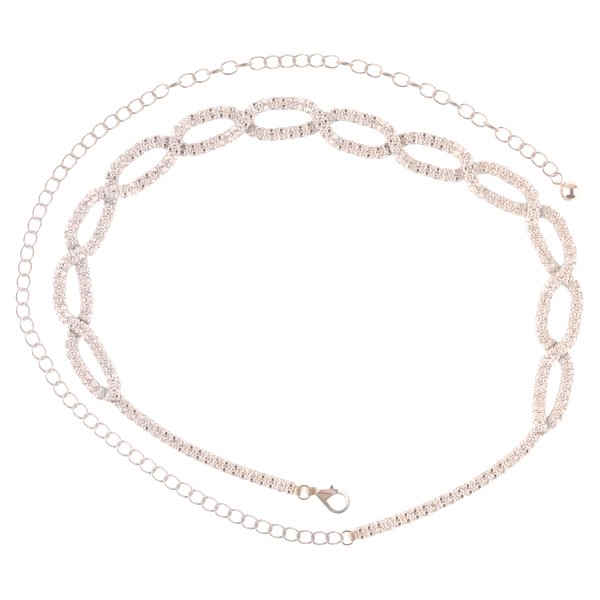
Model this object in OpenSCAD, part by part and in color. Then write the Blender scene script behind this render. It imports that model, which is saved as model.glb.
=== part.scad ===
// Waist chain laid out in a ring. Two strips of stone settings cross over each other in
// twelve open loops. One strip runs on at each end as a strap, and a clasp and a long
// extension chain with a ball close the chain.

/* [Layout] */
// Distance along X between the outermost crossings, with which all routes grow
span = 203.5; // [200:0.5:225]

/* [Strip] */
// Width across both rows of settings
strip_w = 5.6; // [5:0.1:5.8]
// Height from the back of the settings to the stones
strip_h = 2.2; // [1.8:0.1:2.4]
// Bevel along both top edges
strip_bevel = 0.5; // [0.2:0.1:0.8]
// Gap between a strip and the strip that passes over it
cross_gap = 0.15; // [0.1:0.05:0.3]

/* [End loops] */
// Width of the loop that holds a jump ring
loop_w = 3.8; // [3:0.1:4.2]
// Metal thickness around the slot
loop_wall = 0.45; // [0.35:0.05:0.6]
// Gap between the strap and its end loop
loop_gap = 0.1; // [0.05:0.05:0.3]
// Play of a jump ring in a slot, on each side
slot_play = 0.12; // [0.08:0.01:0.15]

/* [Jump rings] */
// Radius at the middle of the wire
ring_r = 2.9; // [2.8:0.05:3]
// Wire diameter
ring_wire = 0.9; // [0.8:0.05:1]
// Radius of the ring that carries the ball
ball_ring_r = 2.5; // [2.4:0.05:2.6]

/* [Extension chain] */
// Distance from one link to the next
link_pitch = 6.11; // [6:0.01:6.2]
// Outer width of a link
link_w = 6.1; // [5.8:0.1:6.4]
// Wire diameter
link_wire = 0.85; // [0.7:0.05:0.9]
// Play between two linked wires
link_play = 0.15; // [0.12:0.01:0.3]
// Turn of the wire on each side of a link's middle
link_turn = 35; // [30:1:40]

/* [Ball] */
// Diameter of the ball
ball_d = 8.9; // [7:0.1:10]
// Radius of its loop at the middle of the wire
ball_loop_r = 1.25; // [1.2:0.05:1.3]
// Wire diameter of its loop
ball_loop_wire = 0.65; // [0.6:0.05:0.7]

/* [Clasp] */
// Thickness of the hook
hook_t = 2.6; // [2.4:0.1:2.8]
// Outer radius of the hook's bow
bow_r = 5.1; // [5:0.05:5.2]
// Radius of the hook's opening
mouth_r = 3.6; // [3.5:0.05:3.7]
// Distance from the eye's slot to the middle of the bow
bow_x = 12.4; // [12.2:0.1:12.6]
// Thickness of the lever
lever_t = 1.1; // [0.9:0.1:1.2]
// Gap on each side of the lever
lever_gap = 0.1; // [0.08:0.01:0.15]
// Diameter of the hinge pin
pin_d = 0.8; // [0.7:0.05:0.9]
// Radial clearance of the lever's bore on the pin
pin_clear = 0.05; // [0.02:0.01:0.08]
// Width of the eye
eye_w = 3.4; // [3:0.1:3.8]
// Length of the eye
eye_len = 4.2; // [4:0.1:4.4]
// Opening angle of the lever
lever_open = 0; // [0:1:20]

/* [Hidden] */

$fn = 48;

// The routes are drawn for this distance between the outermost crossings
drawn_span = 203.5;
spread = span / drawn_span;

// Crossing points of the strips from the left end clockwise. Columns: x and y, how far the
// outer strip bows out of the straight line to the next crossing near its start and near its
// end, the same for the inner strip, and which strip passes over at this crossing:
// 1 for the one that comes from the outer side, -1 for the one from the inner side.
LOOPS = [
    [-78, -41, 6, 8.5, 3.5, 2.5, 1],
    [-92.9, -11, 8, 8, 4.5, 1.5, -1],
    [-93.3, 19, 8.5, 6.5, 5, 2.3, 1],
    [-79.3, 45.5, 7.5, 8, 4.5, 4.5, 1],
    [-52.4, 64.8, 8, 7.5, 5, 3.5, -1],
    [-23.2, 75, 7.5, 8, 6.6, 3.1, -1],
    [9.2, 74.8, 6.2, 6.5, 6.6, 6.5, 1],
    [39.8, 65.4, 6, 7.5, 6, 5, 1],
    [71.1, 54.3, 6.2, 7.5, 5.8, 3, 1],
    [98, 37.7, 8.5, 7.5, 3.8, 2.5, 1],
    [110.2, 9.9, 8, 5.5, 6, 8.5, 1],
    [108.5, -21.2, 7, 6, 5.3, 1.9, 1],
    [101, -54.5, 0, 0, 0, 0, -1]
];
OUT_START = 2;
OUT_END = 3;
IN_START = 4;
IN_END = 5;
OVER = 6;
loop_count = len(LOOPS) - 1;
// Routes of the two straps, outward from the clasp and towards the extension chain
LEFT_STRAP = spread * [
    [-2.2, -79.6], [-14, -76], [-31, -70], [-50.5, -61], [-63, -53], [-72, -46.5]
];
RIGHT_STRAP = spread * [
    [97.5, -58.5], [92, -64.5], [76.5, -76], [59.5, -85], [42, -92.5], [23.7, -98.6]
];
// Cut ends of the two strips, which lie on the other strip
cut_end_b = spread * [-78.5, -42];
cut_end_a = spread * [100.5, -55.5];
// Places along a loop that set a strip's route, as shares of the straight line
SIDE_STEPS = [0.12, 0.3, 0.5, 0.7, 0.88];
// How square the loops are
bow_power = 4;
// Height of the upper strip along a loop, as shares of the lift at the crossing
RAMP = [[0, 1], [0.12, 1], [0.3, 0.15], [0.5, 0]];
lift = strip_h + cross_gap;
strip_steps = 3;

// Route of the extension chain from its jump ring to the ball
CHAIN_ROUTE = spread * [
    [1.5, -99.5], [-22, -93], [-50, -79], [-80, -57.5], [-98, -40.5],
    [-107, -26.5], [-115, -10], [-116.5, 3], [-113, 27], [-103, 50], [-87, 68.5],
    [-72, 79.5], [-55.5, 89], [-44.5, 93], [-27, 98], [-9, 100], [8.5, 100.5],
    [26.5, 97.5], [43.5, 92], [59.5, 85], [75.5, 75.5], [95, 63], [104.5, 55.5], [107.5, 50]
];
// Links that stand on edge
ON_EDGE = [49, 52, 54, 61, 64, 66, 69, 72];
// Rise of the links near one that stands on edge, as shares of its own rise
EDGE_RISE = [[0, 1], [1, 0.7], [2, 0.25], [3, 0]];
// Turn of the wire at the end that meets a link on edge
flat_turn = 15;
// Rise and turn of the links at the two ends, which meet a flat ring, and the rise of the
// links next to them as a share of it
end_rise = 0.35;
end_turn = 55;
END_RISE = [[0, 1], [1, 0.5], [2, 0]];
link_half = (link_pitch + link_wire + link_play) / 2;
link_side = (link_w - link_wire) / 2;
// Height of a link's middle when the twisted link lies on the surface, and when it stands.
// A lying link rests where its turning wire is lowest, at this share of its full turn.
lie_share = 0.67;
link_z = link_wire / 2 + lie_share * link_side * sin(link_turn);
edge_z = link_wire / 2 + link_side;
// Roundness of a link: 1 is an ellipse, less is squarer
link_round = 0.83;
link_segments = 12;
wire_sides = 5;
route_steps = 8;

// Height of the jump rings, the slots and the eye above the surface
ring_z = hook_t / 2;
// Slope of the right jump ring, up from its slot to the first link
ring_tilt = 5;
// How far the inner edge of a jump ring bends across a slot of the given width
ring_inner_r = ring_r - ring_wire / 2;
function ring_bend(w) = ring_inner_r - sqrt(pow(ring_inner_r, 2) - pow(w / 2, 2));
function slot_len(w) = ring_wire + ring_bend(w) + 2 * slot_play;
slot_h = ring_wire + 2 * slot_play;
eye_h = slot_h + 2 * loop_wall;
loop_len = slot_len(loop_w) + 2 * loop_wall;

// Clasp outline in its own frame, with the eye's slot at the origin and the bow along +X
bow_c = [bow_x, 0.7];
mouth_c = bow_c + [0.35, -0.35];
// How far the opening tapers past its round part, towards the hinge
mouth_taper = [1.7, 1.45];
mouth_tip = mouth_c - [mouth_r, 0] - mouth_taper;
nose = [[3.9, 1.1], [3.35, 0.8], [3.35, -0.65]];
cheek_tip = [[9.1, 1.6], [8.3, 2.7]];
pivot = [4.8, 0.35];
hub_r = 0.9;
// Hook's tip on the bow's outline, behind the middle of the bow, and the direction and
// length of its end face, square to the line from the pivot
tip_back = 2.25;
tip_angle = 131;
tip_face = 2.4;
hook_tip = [bow_c[0] - tip_back, bow_c[1] + sqrt(pow(bow_r, 2) - pow(tip_back, 2))];
tip_gap = [0.12, 0.15];
lever_end = hook_tip - tip_gap;
lever_end_len = 1.85;
lever_low = [[10.2, 2.95], [8.9, 1.5]];
tab = [[9.4, 4.95], [8.6, 4.6], [7.95, 6.3], [7.4, 6.15], [7.05, 4], [6.9, 3.92]];
lever_back = [3.4, 2.1];
// Where the lever's two edges leave the hub
hub_low_angle = -80;
hub_top_angle = 150;
// Space between the cheeks: its floor and back wall clear the hub, and above the ledge it
// is open to the back
slot_floor = pivot[1] - hub_r - lever_gap;
slot_back = pivot[0] - hub_r - lever_gap;
slot_ledge = 1;
slot_open = lever_back[0] - 4 * lever_gap;
slot_end = hook_tip[0] + tip_gap[0];
slot_front = mouth_tip - [0.1, -0.15];
// Neck between the eye and the nose
neck = [[2.4, -0.6], [3.6, 0.7]];
// Radial clearance of the pin in the hook
pin_fit = 0.01;
clasp_angle = -23;
eye_azimuth = 9;

// Ball's loop and ring
loop_azimuth = 142;
loop_drop = 20;
ball_ring_azimuth = -66;
ball_ring_roll = -18;
ball_ring_play = -0.1;
// Neck of the ball: its diameter, its height over the ball, how far it runs into the ball,
// and the gap between the ball and its loop's middle line
ball_neck_d = 1.8;
ball_neck = 0.4;
ball_neck_root = 0.3;
ball_neck_gap = 0.2;

function unit(v) = v / norm(v);
function mix(a, b, f) = a + (b - a) * f;
function flat(p) = [p[0], p[1]];
function crossing_at(k) = spread * flat(LOOPS[k]);
function side_of(d) = [-d[1], d[0]];
function heading(a) = [cos(a), sin(a)];

// Smooth curve through all the points of a route
function curve(p, steps) =
    let(n = len(p), first = 2 * p[0] - p[1], last = 2 * p[n - 1] - p[n - 2])
    concat(
        [for (i = [0:n - 2], j = [0:steps - 1])
            curve_at(i == 0 ? first : p[i - 1], p[i], p[i + 1], i == n - 2 ? last : p[i + 2], j / steps)],
        [p[n - 1]]
    );
function curve_at(a, b, c, d, t) =
    (2 * b + (c - a) * t + (2 * a - 5 * b + 4 * c - d) * t * t + (3 * b - a - 3 * c + d) * t * t * t) / 2;

// Triangles of a tube whose sections have the given number of points
function tube_faces(rings, sides, closed) =
    let(last = closed ? rings - 1 : rings - 2)
    concat(
        closed ? [] : [[for (j = [0:sides - 1]) j]],
        closed ? [] : [[for (j = [sides - 1:-1:0]) (rings - 1) * sides + j]],
        [for (i = [0:last], j = [0:sides - 1], half = [0, 1])
            let(
                k = (i + 1) % rings,
                m = (j + 1) % sides,
                a = i * sides + j,
                b = i * sides + m,
                c = k * sides + m,
                d = k * sides + j
            )
            half == 0 ? [a, d, c] : [a, c, b]]
    );

// Bow of a strip out of the straight line at share f of loop k
function bow_at(k, outer, f) =
    (outer ? mix(LOOPS[k][OUT_START], LOOPS[k][OUT_END], f) : -mix(LOOPS[k][IN_START], LOOPS[k][IN_END], f))
    * spread * (1 - pow(abs(2 * f - 1), bow_power));
function over_at_start(k, outer) = (outer ? -1 : 1) * LOOPS[k][OVER] > 0 ? 1 : 0;
function over_at_end(k, outer) = (outer ? 1 : -1) * LOOPS[k + 1][OVER] > 0 ? 1 : 0;
function strip_z(k, outer, f) =
    lift * max(over_at_start(k, outer) * lookup(f, RAMP), over_at_end(k, outer) * lookup(1 - f, RAMP));
function side_points(k, outer) =
    let(a = crossing_at(k), b = crossing_at(k + 1), out = side_of(unit(b - a)))
    [for (f = SIDE_STEPS)
        let(p = mix(a, b, f) + out * bow_at(k, outer, f))
        [p[0], p[1], strip_z(k, outer, f)]];
function crossing(k, outer) = concat(crossing_at(k), [lift * over_at_start(k, outer)]);
function at_height(points, z) = [for (p = points) [p[0], p[1], z]];

// Strip a is the outer one in the even loops, strip b in the odd ones
function outer_in(k, strip) = (k + strip) % 2 == 0;
function loop_points(strip) = [
    for (k = [0:loop_count - 1])
        each concat([crossing(k, outer_in(k, strip))], side_points(k, outer_in(k, strip)))
];
function without_first(list) = [for (i = [1:len(list) - 1]) list[i]];
route_a = concat(at_height(LEFT_STRAP, 0), loop_points(0), at_height([cut_end_a], lift));
route_b = concat(
    at_height([cut_end_b], lift), without_first(loop_points(1)),
    at_height([crossing_at(loop_count)], 0), at_height(RIGHT_STRAP, 0)
);
line_a = curve(route_a, strip_steps);
line_b = curve(route_b, strip_steps);
seam_a = len(LEFT_STRAP) * strip_steps;
seam_b = len(line_b) - 1 - len(RIGHT_STRAP) * strip_steps;

// Section of a strip: across to the left, then up
section = [
    [-strip_w / 2, 0], [strip_w / 2, 0], [strip_w / 2, strip_h - strip_bevel],
    [strip_w / 2 - strip_bevel, strip_h], [strip_bevel - strip_w / 2, strip_h],
    [-strip_w / 2, strip_h - strip_bevel]
];

// Solid strip along a stretch of a line, with upright sections
module strip(line, first, last) {
    points = [
        for (i = [first:last])
            let(
                before = line[max(i - 1, 0)],
                after = line[min(i + 1, len(line) - 1)],
                left = side_of(unit(flat(after) - flat(before))),
                z = min(max(line[i][2], 0), lift)
            )
            for (s = section)
                [line[i][0] + left[0] * s[0], line[i][1] + left[1] * s[0], z + s[1]]
    ];
    polyhedron(points, tube_faces(last - first + 1, len(section), false), convexity = 20);
}

// Heading of a strap where it ends
left_heading = unit(LEFT_STRAP[0] - LEFT_STRAP[1]);
right_heading = unit(RIGHT_STRAP[5] - RIGHT_STRAP[4]);
function slot_at(end, ahead) = end + ahead * (loop_gap + loop_len / 2);
function ring_at(end, ahead) = slot_at(end, ahead) + ahead * (ring_r - ring_bend(loop_w) / 2);
left_ring_at = ring_at(LEFT_STRAP[0], left_heading);
right_ring_at = ring_at(RIGHT_STRAP[5], right_heading);
eye_at = left_ring_at + heading(eye_azimuth) * (ring_r - ring_bend(eye_w) / 2);

// Extension chain: distance along its route, and the route at a distance
chain_line = curve(concat([right_ring_at], CHAIN_ROUTE), route_steps);
chain_runs = [
    for (i = 0, run = 0;
        i < len(chain_line);
        run = run + (i + 1 < len(chain_line) ? norm(chain_line[i + 1] - chain_line[i]) : 0), i = i + 1)
        run
];
run_x = [for (i = [0:len(chain_line) - 1]) [chain_runs[i], chain_line[i][0]]];
run_y = [for (i = [0:len(chain_line) - 1]) [chain_runs[i], chain_line[i][1]]];
first_run = ring_r + link_half - link_wire / 2 - ring_wire / 2 - 2 * link_play;
// As many links as the route holds
link_count = 1 + floor((chain_runs[len(chain_runs) - 1] - first_run) / link_pitch);
function on_edge(i) = len([for (e = ON_EDGE) if (e == i) e]) > 0;
function link_rise(i) =
    max(concat(
        [end_rise * lookup(i - 1, END_RISE), end_rise * lookup(link_count - i, END_RISE)],
        [for (e = ON_EDGE) (edge_z - link_z) * lookup(abs(i - e), EDGE_RISE)]
    ));
function link_at(i) =
    let(run = first_run + (i - 1) * link_pitch)
    [lookup(run, run_x), lookup(run, run_y), link_z + link_rise(i)];
function link_ahead(i) = unit(link_at(min(i + 1, link_count)) - link_at(max(i - 1, 1)));
// Turn of the wire about the chain's line at the two ends of link i
function turn_start(i) =
    on_edge(i) ? 90 : on_edge(i - 1) ? -flat_turn : i == 1 ? -end_turn : -link_turn;
function turn_end(i) =
    on_edge(i) ? 90 : on_edge(i + 1) ? flat_turn : i == link_count ? end_turn : link_turn;
function rounded(c) = sign(c) * pow(abs(c), link_round);
// Point number n on the middle of the wire, with a straight stretch across each end
function link_point(n, from, to) =
    let(
        t = (n + 0.5) * 360 / link_segments,
        reach = rounded(cos(180 / link_segments)),
        x = rounded(cos(t)) / reach,
        y = rounded(sin(t)) / reach,
        a = mix(from, to, (x + 1) / 2)
    )
    [link_half * x, link_side * y * cos(a), link_side * y * sin(a)];
function link_normal(n, from, to) =
    let(a = mix(from, to, (link_point(n, 0, 0)[0] / link_half + 1) / 2))
    [0, -sin(a), cos(a)];

// Twisted oval link number i, with its wire's sections square to the wire
module link(i) {
    at = link_at(i);
    ahead = link_ahead(i);
    left = unit([-ahead[1], ahead[0], 0]);
    up = cross(ahead, left);
    from = turn_start(i);
    to = turn_end(i);
    points = [
        for (n = [0:link_segments - 1])
            let(
                c = link_point(n, from, to),
                along = unit(link_point(n + 1, from, to) - link_point(n - 1, from, to)),
                raw = link_normal(n, from, to),
                n1 = unit(raw - (raw * along) * along),
                n2 = cross(along, n1)
            )
            for (j = [0:wire_sides - 1])
                let(
                    q = (j + 0.5) * 360 / wire_sides,
                    p = c + (n1 * cos(q) + n2 * sin(q)) * link_wire / 2
                )
                at + ahead * p[0] + left * p[1] + up * p[2]
    ];
    polyhedron(points, tube_faces(link_segments, wire_sides, true), convexity = 6);
}

// Round wire ring lying flat
module wire_ring(r, wire) {
    rotate_extrude() translate([r, 0]) circle(d = wire);
}

function azimuth(v) = atan2(v[1], v[0]);

module flat_oval(length, height) {
    r = height / 2;
    translate([r - length / 2, 0]) circle(r = r);
    translate([length / 2 - r, 0]) circle(r = r);
    square([length - height, height], center = true);
}

// Folded loop at the end of a strap, with a slot across it for the jump ring
module end_loop(end, ahead) {
    at = slot_at(end, ahead);
    translate([at[0], at[1], ring_z])
        rotate([90, 0, azimuth(ahead)])
            linear_extrude(loop_w, center = true)
                difference() {
                    flat_oval(loop_len, eye_h);
                    flat_oval(slot_len(loop_w), slot_h);
                }
}

// Point where the line from p touches the circle, on the given side of it
function tangent(p, c, r, side) =
    let(d = norm(c - p), a = azimuth(p - c) - side * acos(r / d))
    c + r * heading(a);

module hook_outline() {
    low = tangent(nose[2], bow_c, bow_r, -1);
    far = 3 * bow_r;
    difference() {
        union() {
            difference() {
                translate(bow_c) circle(r = bow_r, $fn = 96);
                polygon([
                    hook_tip + bow_r * heading(tip_angle), hook_tip - tip_face * heading(tip_angle),
                    bow_c, bow_c + far * unit(low - bow_c), bow_c - [far, 0]
                ]);
            }
            polygon(concat(nose, [low, bow_c], cheek_tip));
        }
        translate(mouth_c) circle(r = mouth_r, $fn = 96);
        polygon([
            mouth_tip, tangent(mouth_tip, mouth_c, mouth_r, -1), mouth_c,
            tangent(mouth_tip, mouth_c, mouth_r, 1)
        ]);
    }
}

// Space between the cheeks in which the lever moves
module lever_slot() {
    linear_extrude(lever_t + 2 * lever_gap, center = true)
        polygon([
            [slot_back, slot_ledge], [slot_back, slot_floor], [pivot[0], slot_floor], slot_front,
            [slot_end, mouth_tip[1] + lever_gap], [slot_end, bow_c[1] + bow_r],
            [slot_open, bow_c[1] + bow_r], [slot_open, slot_ledge]
        ]);
}

// Broad eye of the clasp, with a slot across it for the jump ring
module clasp_eye() {
    back = eye_len - loop_wall - slot_len(eye_w) / 2;
    rotate([90, 0, eye_azimuth - clasp_angle])
        linear_extrude(eye_w, center = true)
            difference() {
                translate([back - eye_len / 2, 0]) flat_oval(eye_len, eye_h);
                flat_oval(slot_len(eye_w), slot_h);
            }
}

module place_clasp() {
    translate([eye_at[0], eye_at[1], ring_z]) rotate(clasp_angle) children();
}

module lever_outline() {
    translate(pivot) circle(r = hub_r);
    polygon(concat(
        [pivot + hub_r * heading(hub_low_angle)],
        [lever_low[1], lever_low[0], lever_end - lever_end_len * heading(tip_angle), lever_end],
        tab,
        [lever_back, pivot + hub_r * heading(hub_top_angle)]
    ));
}

module clasp_hook() {
    color("rosybrown")
        place_clasp() {
            difference() {
                linear_extrude(hook_t, center = true) hook_outline();
                lever_slot();
                translate(pivot) cylinder(d = pin_d + 2 * pin_fit, h = 2 * hook_t, center = true);
            }
            clasp_eye();
            linear_extrude(eye_h, center = true)
                translate(neck[0]) square(neck[1] - neck[0]);
        }
}

module clasp_pin() {
    color("rosybrown")
        place_clasp()
            translate(pivot) cylinder(d = pin_d, h = hook_t, center = true);
}

module clasp_lever() {
    color("sienna")
        place_clasp()
            translate(pivot) rotate(-lever_open) translate(-pivot)
                difference() {
                    linear_extrude(lever_t, center = true) lever_outline();
                    translate(pivot)
                        cylinder(d = pin_d + 2 * pin_clear, h = 2 * lever_t, center = true);
                }
}

module strand_a() {
    color("mistyrose") strip(line_a, seam_a, len(line_a) - 1);
}

module strand_b() {
    color("mistyrose") strip(line_b, 0, seam_b);
}

module strap_left() {
    color("mistyrose") strip(line_a, 0, seam_a);
}

module strap_right() {
    color("mistyrose") strip(line_b, seam_b, len(line_b) - 1);
}

module end_loop_left() {
    color("peru") end_loop(LEFT_STRAP[0], left_heading);
}

module end_loop_right() {
    color("burlywood") end_loop(RIGHT_STRAP[5], right_heading);
}

module ring_left() {
    color("rosybrown")
        translate([left_ring_at[0], left_ring_at[1], ring_z]) wire_ring(ring_r, ring_wire);
}

module ring_right() {
    color("rosybrown")
        translate([right_ring_at[0], right_ring_at[1], ring_z + ring_r * sin(ring_tilt)])
            rotate([0, -ring_tilt, azimuth(right_heading)]) wire_ring(ring_r, ring_wire);
}

chain_middle = floor(link_count / 2);

module chain_near() {
    color("lightpink") for (i = [1:chain_middle]) link(i);
}

module chain_far() {
    color("lightpink") for (i = [chain_middle + 1:link_count]) link(i);
}

ball_r = ball_d / 2;
loop_reach = ball_r + ball_loop_r + ball_neck_gap;
ball_ring_from =
    link_at(link_count) + link_ahead(link_count) * (link_half - link_wire - 2 * link_play);
loop_z = ball_r - loop_reach * sin(loop_drop);
ball_ring_reach = 2 * ball_ring_r + ball_ring_play;
ball_ring_tilt = asin((loop_z - ball_ring_from[2]) / ball_ring_reach);
ball_ring_toward = [
    cos(ball_ring_tilt) * cos(ball_ring_azimuth), cos(ball_ring_tilt) * sin(ball_ring_azimuth),
    sin(ball_ring_tilt)
];
ball_ring_at = ball_ring_from + ball_ring_toward * ball_ring_r;
ball_loop_at = ball_ring_from + ball_ring_toward * ball_ring_reach;
ball_at = [
    ball_loop_at[0] - loop_reach * cos(loop_drop) * cos(loop_azimuth),
    ball_loop_at[1] - loop_reach * cos(loop_drop) * sin(loop_azimuth),
    ball_r
];

module ball_ring() {
    color("rosybrown")
        translate(ball_ring_at)
            rotate([0, -ball_ring_tilt, ball_ring_azimuth]) rotate([ball_ring_roll, 0, 0])
                wire_ring(ball_ring_r, link_wire);
}

module ball() {
    color("rosybrown")
        translate(ball_at) rotate([0, loop_drop, loop_azimuth]) {
            sphere(r = ball_r, $fn = 64);
            translate([ball_r - ball_neck_root, 0, 0])
                rotate([0, 90, 0]) cylinder(d = ball_neck_d, h = ball_neck_root + ball_neck);
            translate([loop_reach, 0, 0]) rotate([90, 0, 0])
                wire_ring(ball_loop_r, ball_loop_wire);
        }
}

strand_a();
strand_b();
strap_left();
strap_right();
end_loop_left();
end_loop_right();
ring_left();
ring_right();
clasp_hook();
clasp_pin();
clasp_lever();
chain_near();
chain_far();
ball_ring();
ball();
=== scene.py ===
"""Looks of a waist chain that lies flat, seen from straight above.

Two strips of stone settings cross over each other in open loops. Each setting is a cup with a
faceted stone and four claws. The extension chain's links are rounded wires, and the end loops and
the clasp have softened edges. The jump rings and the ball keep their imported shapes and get
polished metal. Sizes are in millimetres until a mesh is made.
"""

import logging
from collections.abc import Callable
from dataclasses import dataclass, field
from enum import Enum

import bpy
import numpy as np
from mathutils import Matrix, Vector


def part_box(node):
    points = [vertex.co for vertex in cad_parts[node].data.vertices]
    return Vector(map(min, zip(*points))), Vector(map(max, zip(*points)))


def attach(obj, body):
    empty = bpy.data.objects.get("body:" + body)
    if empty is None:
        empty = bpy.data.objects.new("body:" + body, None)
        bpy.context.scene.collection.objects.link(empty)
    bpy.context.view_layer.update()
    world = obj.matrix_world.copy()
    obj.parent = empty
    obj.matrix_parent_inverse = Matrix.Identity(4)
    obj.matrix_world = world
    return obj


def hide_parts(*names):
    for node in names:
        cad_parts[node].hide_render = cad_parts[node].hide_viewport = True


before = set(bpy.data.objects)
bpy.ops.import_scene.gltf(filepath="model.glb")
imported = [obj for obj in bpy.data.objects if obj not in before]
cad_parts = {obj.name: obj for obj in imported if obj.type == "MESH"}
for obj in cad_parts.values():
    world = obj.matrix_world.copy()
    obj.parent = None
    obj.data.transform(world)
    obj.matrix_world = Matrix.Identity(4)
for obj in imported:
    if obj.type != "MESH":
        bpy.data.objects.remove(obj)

Array = np.ndarray
MM = 0.001
CHAIN_BODY = "chain"
LEVER_BODY = "lever"
# A plate's colour shares and mirror shares, at its edge (painted shade) and on its flat faces
# (painted highlight)
EDGE_SHADE_SHARE = 0.25
FACE_HIGHLIGHT_SHARE = 1.1
EDGE_MIRROR = 0.8
FACE_MIRROR = 0.4
# Longest step of a plate's outline, and the share of the clear distance that its rounding uses
PLATE_STEP = 0.16
CLEAR_SHARE = 0.96
# Degrees between the points of a large arc, and of a small one
ARC_STEP = 4.0
SMALL_ARC_STEP = 12.0
# All loops lie above this y, and most of the straps lie below it
STRAP_Y = -60.0
# Places in each stretch of the curves through the strips' points and through the chain's
STRIP_STEPS = 3
CHAIN_STEPS = 8
log = logging.getLogger("waist_chain")


class Side(Enum):
    """Side of a loop on which a strip runs."""

    OUTER = 1
    INNER = -1


class Shade(Enum):
    """Shading of a piece's faces."""

    FACETED = 0.0
    ROUNDED = 50.0


# Crossing points of the strips from the left end clockwise: x, y, the outer strip's bow near the
# loop's start and end, the same for the inner strip, and which strip passes over there
LOOPS = np.array([
    [-78, -41, 6, 8.5, 3.5, 2.5, 1],
    [-92.9, -11, 8, 8, 4.5, 1.5, -1],
    [-93.3, 19, 8.5, 6.5, 5, 2.3, 1],
    [-79.3, 45.5, 7.5, 8, 4.5, 4.5, 1],
    [-52.4, 64.8, 8, 7.5, 5, 3.5, -1],
    [-23.2, 75, 7.5, 8, 6.6, 3.1, -1],
    [9.2, 74.8, 6.2, 6.5, 6.6, 6.5, 1],
    [39.8, 65.4, 6, 7.5, 6, 5, 1],
    [71.1, 54.3, 6.2, 7.5, 5.8, 3, 1],
    [98, 37.7, 8.5, 7.5, 3.8, 2.5, 1],
    [110.2, 9.9, 8, 5.5, 6, 8.5, 1],
    [108.5, -21.2, 7, 6, 5.3, 1.9, 1],
    [101, -54.5, 0, 0, 0, 0, -1],
], float)
LEFT_STRAP = np.array(
    [[-2.2, -79.6], [-14, -76], [-31, -70], [-50.5, -61], [-63, -53], [-72, -46.5]], float)
RIGHT_STRAP = np.array(
    [[97.5, -58.5], [92, -64.5], [76.5, -76], [59.5, -85], [42, -92.5], [23.7, -98.6]], float)
# Where each strip ends, cut off beside the other one's strap
CUT_END_A = np.array([[100.5, -55.5]])
CUT_END_B = np.array([[-78.5, -42.0]])
# Middle line of the extension chain after its jump ring
CHAIN_ROUTE = np.array([
    [1.5, -99.5], [-22, -93], [-50, -79], [-80, -57.5], [-98, -40.5],
    [-107, -26.5], [-115, -10], [-116.5, 3], [-113, 27], [-103, 50], [-87, 68.5],
    [-72, 79.5], [-55.5, 89], [-44.5, 93], [-27, 98], [-9, 100], [8.5, 100.5],
    [26.5, 97.5], [43.5, 92], [59.5, 85], [75.5, 75.5], [95, 63], [104.5, 55.5], [107.5, 50],
], float)


def unit(v: Array) -> Array:
    """Vectors of length one: each vector of the last axis divided by its length."""
    return v / np.linalg.norm(v, axis=-1, keepdims=True)


def climb(values: Array, start: float | Array, end: float | Array) -> Array:
    """Share of the way from start to end at each value, kept between 0 and 1."""
    return ((values - start) / (end - start)).clip(0, 1)


def turned_left(v: Array) -> Array:
    """Level vectors turned a quarter turn to the left: (x, y) becomes (-y, x)."""
    return np.stack([-v[..., 1], v[..., 0]], axis=-1)


def with_height(points: Array, z: float | Array) -> Array:
    """Plan points with a height added as the third number."""
    return np.column_stack([points, np.broadcast_to(z, len(points))])


def smooth_curve(points: Array, steps: int) -> Array:
    """Curve through all the points.

    Between two points b and c, with a before and d after them, a place at share t is half of
    2b + (c - a)t + (2a - 5b + 4c - d)t^2 + (3b - a - 3c + d)t^3. The first and last points are
    mirrored to give the missing neighbours.

    Args:
        points: one row for each point.
        steps: places in each stretch.

    Returns:
        The places, with the last point at the end.
    """
    p = np.vstack([2 * points[0] - points[1], points, 2 * points[-1] - points[-2]])
    a, b, c, d = (p[k:len(p) - 3 + k, None] for k in range(4))
    t = (np.arange(steps) / steps)[None, :, None]
    places = 0.5 * (
        2 * b + (c - a) * t + (2 * a - 5 * b + 4 * c - d) * t**2
        + (3 * b - a - 3 * c + d) * t**3)
    return np.vstack([places.reshape(-1, points.shape[1]), points[-1:]])


def run_along(line: Array) -> Array:
    """Distance along a line at each of its points, from zero."""
    return np.concatenate([[0.0], np.cumsum(np.linalg.norm(np.diff(line, axis=0), axis=1))])


def places_at(line: Array, runs: Array) -> Array:
    """Points of a line at the given distances along it, straight between its points."""
    known = run_along(line)
    return np.stack([np.interp(runs, known, line[:, k]) for k in range(line.shape[1])], axis=-1)


@dataclass(frozen=True)
class Frames:
    """Places with their own axes: along, to the left and up.

    Attributes:
        origin: (n, 3) points.
        axes: (n, 3, 3), a row for each axis.
    """

    origin: Array
    axes: Array

    def chosen(self, which: Array) -> "Frames":
        """The frames that a mask keeps."""
        return Frames(self.origin[which], self.axes[which])

    @staticmethod
    def along(origin: Array, ahead: Array) -> "Frames":
        """Frames at points with a direction of travel.

        The left axis is level, and the up axis is ahead x left.

        Args:
            origin: (n, 3) points.
            ahead: (n, 3) directions.

        Returns:
            The frames.
        """
        x = unit(ahead)
        y = unit(with_height(turned_left(x[:, :2]), 0.0))
        return Frames(origin, np.stack([x, y, np.cross(x, y)], axis=1))


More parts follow.
